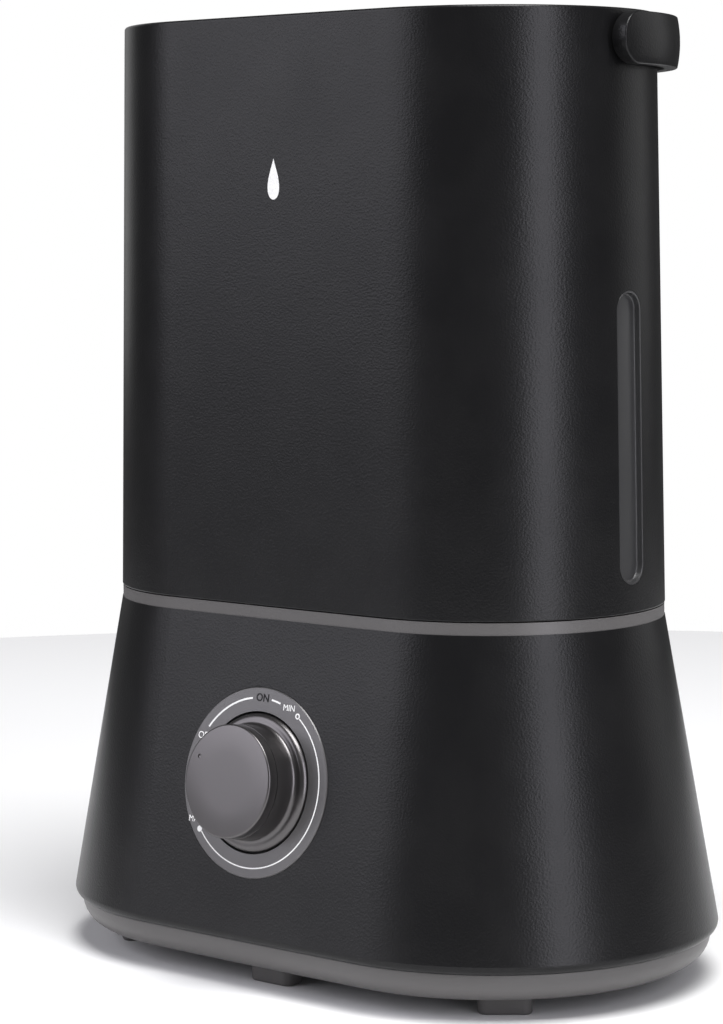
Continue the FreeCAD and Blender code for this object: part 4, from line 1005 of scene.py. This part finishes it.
class HUMIDIFIER_OT_knob(bpy.types.Operator):
    """Turns the output knob with its coved skirt, seam line and pointer dimple"""

    bl_idname = "humidifier.knob"
    bl_label = "Knob"

    def execute(self, context):
        size, place = sizes(), dial_place()
        skirt = high("knob").x
        face = skirt - 4.35 * MM
        top, edge = 14.2 * MM, size.knob_edge
        back = -2.2 * MM
        lip, lip_top = 2.3 * MM, 1.9 * MM
        cove, cove_x = 1.5 * MM, face + 0.25 * MM
        outline = [(0, top), (face * 0.5, top)]
        outline += arc_points(face - edge, top - edge, edge, 90, 0, 6)
        seam_z = 10.3 * MM
        outline += [(face + 0.06 * MM, seam_z + 0.14 * MM), (face - 0.14 * MM, seam_z + 0.08 * MM),
                    (face - 0.14 * MM, seam_z - 0.08 * MM), (face + 0.12 * MM, seam_z - 0.14 * MM)]
        outline.append((cove_x, 6.5 * MM))
        outline += arc_points(cove_x + cove, lip_top + cove, cove, 180, 262, 8)
        outline += arc_points(skirt - lip, lip_top - lip, lip, 88, 0, 12)
        outline += [(skirt, back + 0.3 * MM), (skirt - 0.3 * MM, back), (skirt - 1.8 * MM, back),
                    (skirt - 1.8 * MM, -0.3 * MM), (face - 2.2 * MM, 1.5 * MM),
                    (face - 2.2 * MM, top - 2.2 * MM), (5.2 * MM, top - 2.2 * MM), (5.2 * MM, back),
                    (3.05 * MM, back), (3.05 * MM, 10.5 * MM), (0, 10.5 * MM)]
        turned = lathe(outline, 144)
        middle = Vector((-13.3 * MM, 7.0 * MM, top))
        pit = lathe([(0, -0.45 * MM), (size.dimple_radius * 0.8, -0.35 * MM), (size.dimple_radius, 0.2 * MM),
                     (size.dimple_radius, 1 * MM), (0, 1 * MM)], 28, Matrix.Translation(middle))
        knob = carved(turned, [pit])
        knob.transform(place)
        finished("control_knob", knob, "knob", FINISHES["knob_satin"], ["knob"], crease=35)
        return {"FINISHED"}


def arc_strip(radius, width, start, stop, place, depth_low, depth_high):
    """A printed arc on the dial, angles in degrees clockwise from the top."""
    steps = max(4, int(abs(stop - start) / 2.5))
    outer, inner = [], []
    for i in range(steps + 1):
        angle = math.radians(90 - (start + (stop - start) * i / steps))
        outer.append(((radius + width / 2) * math.cos(angle), (radius + width / 2) * math.sin(angle)))
        inner.append(((radius - width / 2) * math.cos(angle), (radius - width / 2) * math.sin(angle)))
    count = steps + 1
    points = [place @ Vector((u, v, w)) for w in (depth_low, depth_high) for u, v in outer + inner]
    faces = []
    for i in range(steps):
        a, b, c, d = i, i + 1, count + i + 1, count + i
        faces += [(a, d, c, b), (2 * count + a, 2 * count + b, 2 * count + c, 2 * count + d),
                  (a, b, 2 * count + b, 2 * count + a), (d, 2 * count + d, 2 * count + c, c)]
    for i in (0, steps):
        faces.append((i, count + i, 3 * count + i, 2 * count + i))
    return closed_up(mesh_from("arc", points, faces))


def lettering(words, cap_height, place, thickness, bold=0.0):
    """Plain raised letters, centred on place."""
    data = bpy.data.curves.new("letters", "FONT")
    data.body, data.align_x, data.align_y = words, "CENTER", "CENTER"
    data.size = cap_height / 0.7
    data.extrude = thickness / 2
    data.offset = bold
    data.resolution_u = 4
    mesh = closed_up(taken(link(bpy.data.objects.new("letters", data))), 1e-8)
    mesh.transform(place)
    return mesh


class HUMIDIFIER_OT_dial_marks(bpy.types.Operator):
    """Prints the dial's arcs, dots and generic words on its plate"""

    bl_idname = "humidifier.dial_marks"
    bl_label = "Dial marks"

    def execute(self, context):
        place, rise = dial_place(), sizes().print_height
        face = 0.4 * MM
        sunk = 0.05 * MM
        span = (face - sunk, face + rise)
        ring = 28.5 * MM

        def at(x, y):
            return place @ Matrix.Translation((x, y, face))

        def spot(clock, radius):
            angle = math.radians(90 - clock)
            return at(radius * math.cos(angle), radius * math.sin(angle))

        white = [
            arc_strip(ring, 0.62 * MM, -54.5, -9.5, place, *span),
            arc_strip(ring, 0.62 * MM, 8.0, 16.2, place, *span),
            arc_strip(ring + 0.2 * MM, 0.42 * MM, 36.5, 228.5, place, *span),
            lettering("MIN", 2.1 * MM, spot(24.6, 28.8 * MM), 2 * rise),
            lettering("OFF", 2.4 * MM, at(-24.8 * MM, 13.3 * MM), 2 * rise),
            lettering("MAX", 2.1 * MM, at(-24.8 * MM, -15.3 * MM), 2 * rise),
        ]
        hollow = spot(34.0, 28.8 * MM)
        hole, edge = 0.55 * MM, 1.0 * MM
        white.append(lathe([(hole, -sunk), (edge, -sunk), (edge, rise), (hole, rise)], 28, hollow))
        dot = spot(230.9, 29.0 * MM)
        white.append(lathe([(0, -sunk), (1.05 * MM, -sunk), (1.05 * MM, rise), (0, rise)], 28, dot))
        finished("dial_print_white", joined(white), "base", FINISHES["printed_white"])
        dark = lettering("ON", 2.6 * MM, spot(-0.4, ring), 2 * rise, 0.07 * MM)
        finished("dial_print_dark", dark, "base", FINISHES["printed_dark"])
        return {"FINISHED"}


class HUMIDIFIER_OT_front_mark(bpy.types.Operator):
    """Prints a plain water drop on the front of the tank"""

    bl_idname = "humidifier.front_mark"
    bl_label = "Front mark"

    def execute(self, context):
        plan, rise = Plan(), sizes().print_height
        middle, half_width, height = 271.7 * MM, 3.6 * MM, 13.5 * MM
        outline, corners = [], 48
        for i in range(corners):
            angle = TURN * i / corners
            share = (1 - math.cos(angle)) / 2
            reach = half_width * math.sin(angle) * math.sin(angle / 2) ** 1.4
            outline.append((reach, height * (0.5 - share)))

        def spot(u, v, w):
            z = middle + v
            return (u, -(plan.half_depth - plan.tank_inset(z)) - w, z)

        drop = prism(outline, spot, -0.08 * MM, rise)
        finished("front_drop", drop, "tank", FINISHES["printed_white"])
        return {"FINISHED"}


def cross_screw(head_radius, head_height, radius, length_below):
    """Pan head with a cross recess on +Z, its bearing face at 0 and a threaded shank below."""
    rim = head_height * 0.45
    outline = [(0, head_height), (head_radius * 0.45, head_height), (head_radius * 0.8, head_height * 0.86),
               (head_radius * 0.96, rim), (head_radius, rim * 0.5), (head_radius, 0), (radius * 0.82, 0)]
    pitch, z = 0.8 * MM, -0.5 * MM
    while z - pitch > -length_below + 0.6 * MM:
        outline += [(radius * 0.82, z), (radius * 0.99, z - pitch * 0.4), (radius * 0.82, z - pitch * 0.8)]
        z -= pitch
    outline += [(radius * 0.6, -length_below), (0, -length_below)]
    body = lathe(outline, 28)
    arm, width, deep = head_radius * 0.62, head_radius * 0.14, head_height * 0.5
    cutters = []
    for first, second in ((arm, width), (width, arm)):
        cutters.append(box_mesh(Vector((-first, -second, head_height - deep)),
                                Vector((first, second, head_height * 1.2))))
    return carved(body, cutters)


class HUMIDIFIER_OT_screws(bpy.types.Operator):
    """Places every visible screw: cross-recessed heads on threaded shanks"""

    bl_idname = "humidifier.screws"
    bl_label = "Screws"

    def execute(self, context):
        steel = FINISHES["steel"]
        flipped = (math.pi, 0.0, 0.0)
        kinds = [
            ("pan_screws", "base", 3.0, 2.0, 1.5, 18.0, flipped),
            ("transducer_screws", "base", 3.0, 2.0, 1.5, 8.7, flipped),
            ("board_screws", "base", 2.6, 1.6, 1.5, 9.6, (0, 0, 0)),
            ("fan_screws", "base", 3.0, 1.6, 1.5, 15.0, (0, 0, 0)),
        ]
        for node, body, head, head_height, radius, shank, turn in kinds:
            screw = cross_screw(head * MM, head_height * MM, radius * MM, shank * MM)
            under_head = head_height * MM
            bearing = low(node).z + under_head if turn == flipped else high(node).z - under_head
            places = [((x, y, bearing), turn) for x, y in middles(node)]
            mesh = placed_copies(screw, places, steel)
            finished(node + "_cross", mesh, body, steel, [node])
        pivot = Vector(joint("handle_swing")["pos_m"])
        screw = cross_screw(3.0 * MM, 2.0 * MM, 1.5 * MM, 7.5 * MM)
        inner = high("pivot_screws").x - 7.5 * MM
        places = [((side * inner, pivot.y, pivot.z), (0, -side * math.pi / 2, 0)) for side in (-1, 1)]
        finished("pivot_screws_cross", placed_copies(screw, places, steel), "handle", steel,
                 ["pivot_screws"])
        return {"FINISHED"}


def middles(node):
    """Middle x, y of each separate solid in a CAD part."""
    shape = bmesh.new()
    shape.from_mesh(frame["nodes"][node].data)
    bmesh.ops.remove_doubles(shape, verts=shape.verts, dist=1e-6)
    found, seen = [], set()
    for start in shape.verts:
        if start in seen:
            continue
        island, queue = [], [start]
        seen.add(start)
        while queue:
            vert = queue.pop()
            island.append(vert.co)
            for edge in vert.link_edges:
                other = edge.other_vert(vert)
                if other not in seen:
                    seen.add(other)
                    queue.append(other)
        xs, ys = [c.x for c in island], [c.y for c in island]
        found.append(((min(xs) + max(xs)) / 2, (min(ys) + max(ys)) / 2))
    shape.free()
    return sorted(found)


class HUMIDIFIER_OT_fan(bpy.types.Operator):
    """Grows the fan: a rounded hub with a ring of twisted, cambered blades"""

    bl_idname = "humidifier.fan"
    bl_label = "Fan"

    def execute(self, context):
        centre = Vector(joint("fan_spin")["pos_m"])
        near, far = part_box("fan_rotor")
        hub, tip = 12 * MM, 22.4 * MM
        floor, roof = near.z, far.z - 1.8 * MM
        middle = (floor + roof) / 2
        rows, steps, thick = 8, 10, 1.0 * MM
        points, faces = [], []
        for side in (0, 1):
            for r in range(rows + 1):
                radius = hub - 0.6 * MM + (tip - hub + 0.6 * MM) * r / rows
                pitch = math.radians(52 - 22 * r / rows)
                chord = (roof - floor) * 0.82 / math.sin(pitch)
                for s in range(steps + 1):
                    share = s / steps - 0.5
                    along = chord * share
                    camber = 1.1 * MM * (1 - 4 * share * share)
                    y = along * math.cos(pitch) - camber * math.sin(pitch)
                    z = along * math.sin(pitch) + camber * math.cos(pitch)
                    taper = thick * (1 - 0.7 * abs(2 * share)) * (side - 0.5)
                    angle = y / radius
                    points.append((radius * math.cos(angle) - taper * math.sin(angle) * 0.3,
                                   radius * math.sin(angle) + taper * math.sin(pitch),
                                   z - taper * math.cos(pitch)))
        wide = steps + 1
        layer = (rows + 1) * wide
        for r in range(rows):
            for s in range(steps):
                a = r * wide + s
                faces += [(a, a + 1, a + wide + 1, a + wide),
                          (layer + a, layer + a + wide, layer + a + wide + 1, layer + a + 1)]
        for r in range(rows):
            for s in (0, steps):
                a, b = r * wide + s, (r + 1) * wide + s
                faces.append((a, b, layer + b, layer + a))
        for s in range(steps):
            for r in (0, rows):
                a = r * wide + s
                faces.append((a, layer + a, layer + a + 1, a + 1))
        blade = closed_up(mesh_from("blade", points, faces))
        blades = ring_of(blade, sizes().fan_blades, 0.0, FINISHES["black_plastic"])
        blades.transform(Matrix.Translation((centre.x, centre.y, middle)))
        body = lathe([(0, floor - middle), (hub - 1.4 * MM, floor - middle),
                      (hub - 0.4 * MM, floor - middle + 0.4 * MM), (hub, floor - middle + 1.4 * MM),
                      (hub, roof - middle), (1.5 * MM, roof - middle),
                      (1.5 * MM, far.z - middle), (0, far.z - middle)], 64,
                     Matrix.Translation((centre.x, centre.y, middle)))
        finished("fan_impeller", joined([blades, body]), "fan", FINISHES["black_plastic"],
                 ["fan_rotor"])
        return {"FINISHED"}


class HUMIDIFIER_OT_valve_spring(bpy.types.Operator):
    """Winds the valve's spring"""

    bl_idname = "humidifier.valve_spring"
    bl_label = "Valve spring"

    def execute(self, context):
        near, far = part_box("valve_spring")
        wire = 0.5 * MM
        start = mesh_object("start", bpy.data.meshes.new("start"))
        rise = far.z - near.z - 2 * wire
        coil = coil_tree().grow(start, {
            "Turns": sizes().spring_turns, "Radius": (far.x - near.x) / 2 - wire, "Height": rise,
            "Wire": wire * 0.96, "Finish": FINISHES["steel"],
        })
        coil.transform(Matrix.Translation(((near.x + far.x) / 2, (near.y + far.y) / 2, near.z + wire)))
        spring = finished("valve_coil", coil, "valve", FINISHES["steel"],
                          ["valve_spring"], crease=60)
        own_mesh(spring)
        return {"FINISHED"}


class HUMIDIFIER_OT_stage(bpy.types.Operator):
    """Sets the pale floor, the soft studio lights and the camera"""

    bl_idname = "humidifier.stage"
    bl_label = "Stage"

    def execute(self, context):
        scene = context.scene
        finish = Finish("pale_floor", 0.65)
        film = finish.effect(moulded_grain(), Grain_Size=0.004, Patch_Size=0.4)
        finish.paint(film["Tone"], (0.86, 0.86, 0.86), (0.88, 0.88, 0.88))
        angles = [TURN * i / FLOOR_CORNERS for i in range(FLOOR_CORNERS)]
        rim = [Vector((math.cos(a), math.sin(a), 0)) * FLOOR_RADIUS for a in angles]
        floor = mesh_object("floor", mesh_from("floor", rim, [tuple(range(FLOOR_CORNERS))]))
        floor.data.materials.append(finish.material)

        world = bpy.data.worlds.new("studio")
        world.use_nodes = True
        scene.world = world
        nodes, links = world.node_tree.nodes, world.node_tree.links
        seen, ambient = nodes["Background"], nodes.new("ShaderNodeBackground")
        for node, strength in ((seen, 1.0), (ambient, AMBIENT)):
            node.inputs["Color"].default_value = (1, 1, 1, 1)
            node.inputs["Strength"].default_value = strength
        mix, rays = nodes.new("ShaderNodeMixShader"), nodes.new("ShaderNodeLightPath")
        links.new(rays.outputs["Is Camera Ray"], mix.inputs[0])
        links.new(ambient.outputs[0], mix.inputs[1])
        links.new(seen.outputs[0], mix.inputs[2])
        links.new(mix.outputs[0], nodes["World Output"].inputs["Surface"])

        for name, azimuth, distance, rise, width, height, power, tint in LAMPS:
            turn = math.radians(azimuth)
            place = (distance * math.sin(turn), -distance * math.cos(turn), rise)
            light = bpy.data.lights.new(name, "AREA")
            light.shape, light.size, light.size_y, light.energy = "RECTANGLE", width, height, power
            light.color = tint
            lamp = link(bpy.data.objects.new(name, light))
            lamp.location = place
            lamp.rotation_euler = (LAMP_AIM - Vector(place)).to_track_quat("-Z", "Y").to_euler()

        data = bpy.data.cameras.new("view")
        data.sensor_width, data.sensor_fit, data.lens = 36.0, "AUTO", VIEW_LENS
        data.shift_x, data.shift_y = VIEW_SHIFT
        data.clip_start, data.clip_end = 0.05, 30.0
        camera = link(bpy.data.objects.new("view", data))
        back = VIEW_RIGHT.cross(VIEW_UP)
        place = Matrix((VIEW_RIGHT, VIEW_UP, back)).transposed().to_4x4()
        place.translation = VIEW_PLACE
        camera.matrix_world = place
        scene.camera = camera
        scene.view_settings.view_transform = "Standard"
        return {"FINISHED"}


# ---------------------------------------------------------------- panel and registration
STEPS = (
    HUMIDIFIER_OT_frame_finishes,
    HUMIDIFIER_OT_tank_shell,
    HUMIDIFIER_OT_level_window,
    HUMIDIFIER_OT_handle,
    HUMIDIFIER_OT_knob,
    HUMIDIFIER_OT_dial_marks,
    HUMIDIFIER_OT_front_mark,
    HUMIDIFIER_OT_screws,
    HUMIDIFIER_OT_fan,
    HUMIDIFIER_OT_valve_spring,
    HUMIDIFIER_OT_stage,
)


class HUMIDIFIER_PT_pieces(bpy.types.Panel):
    """Lists the humidifier's pieces"""

    bl_idname = "HUMIDIFIER_PT_pieces"
    bl_label = "Humidifier"
    bl_space_type = "VIEW_3D"
    bl_region_type = "UI"
    bl_category = "Humidifier"

    def draw(self, context):
        for step in STEPS:
            self.layout.operator(step.bl_idname)
        for group in (context.scene.humidifier_sizes, context.scene.humidifier_colours):
            for name in group.__annotations__:
                self.layout.prop(group, name)


CLASSES = (HumidifierSizes, HumidifierColours, *STEPS, HUMIDIFIER_PT_pieces)


def register():
    for kind in CLASSES:
        bpy.utils.register_class(kind)
    bpy.types.Scene.humidifier_sizes = bpy.props.PointerProperty(type=HumidifierSizes)
    bpy.types.Scene.humidifier_colours = bpy.props.PointerProperty(type=HumidifierColours)


def unregister():
    del bpy.types.Scene.humidifier_sizes
    del bpy.types.Scene.humidifier_colours
    for kind in reversed(CLASSES):
        bpy.utils.unregister_class(kind)


def main():
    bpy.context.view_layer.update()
    register()
    for step in STEPS:
        group, name = step.bl_idname.split(".")
        getattr(getattr(bpy.ops, group), name)()


if __name__ == "__main__":
    main()
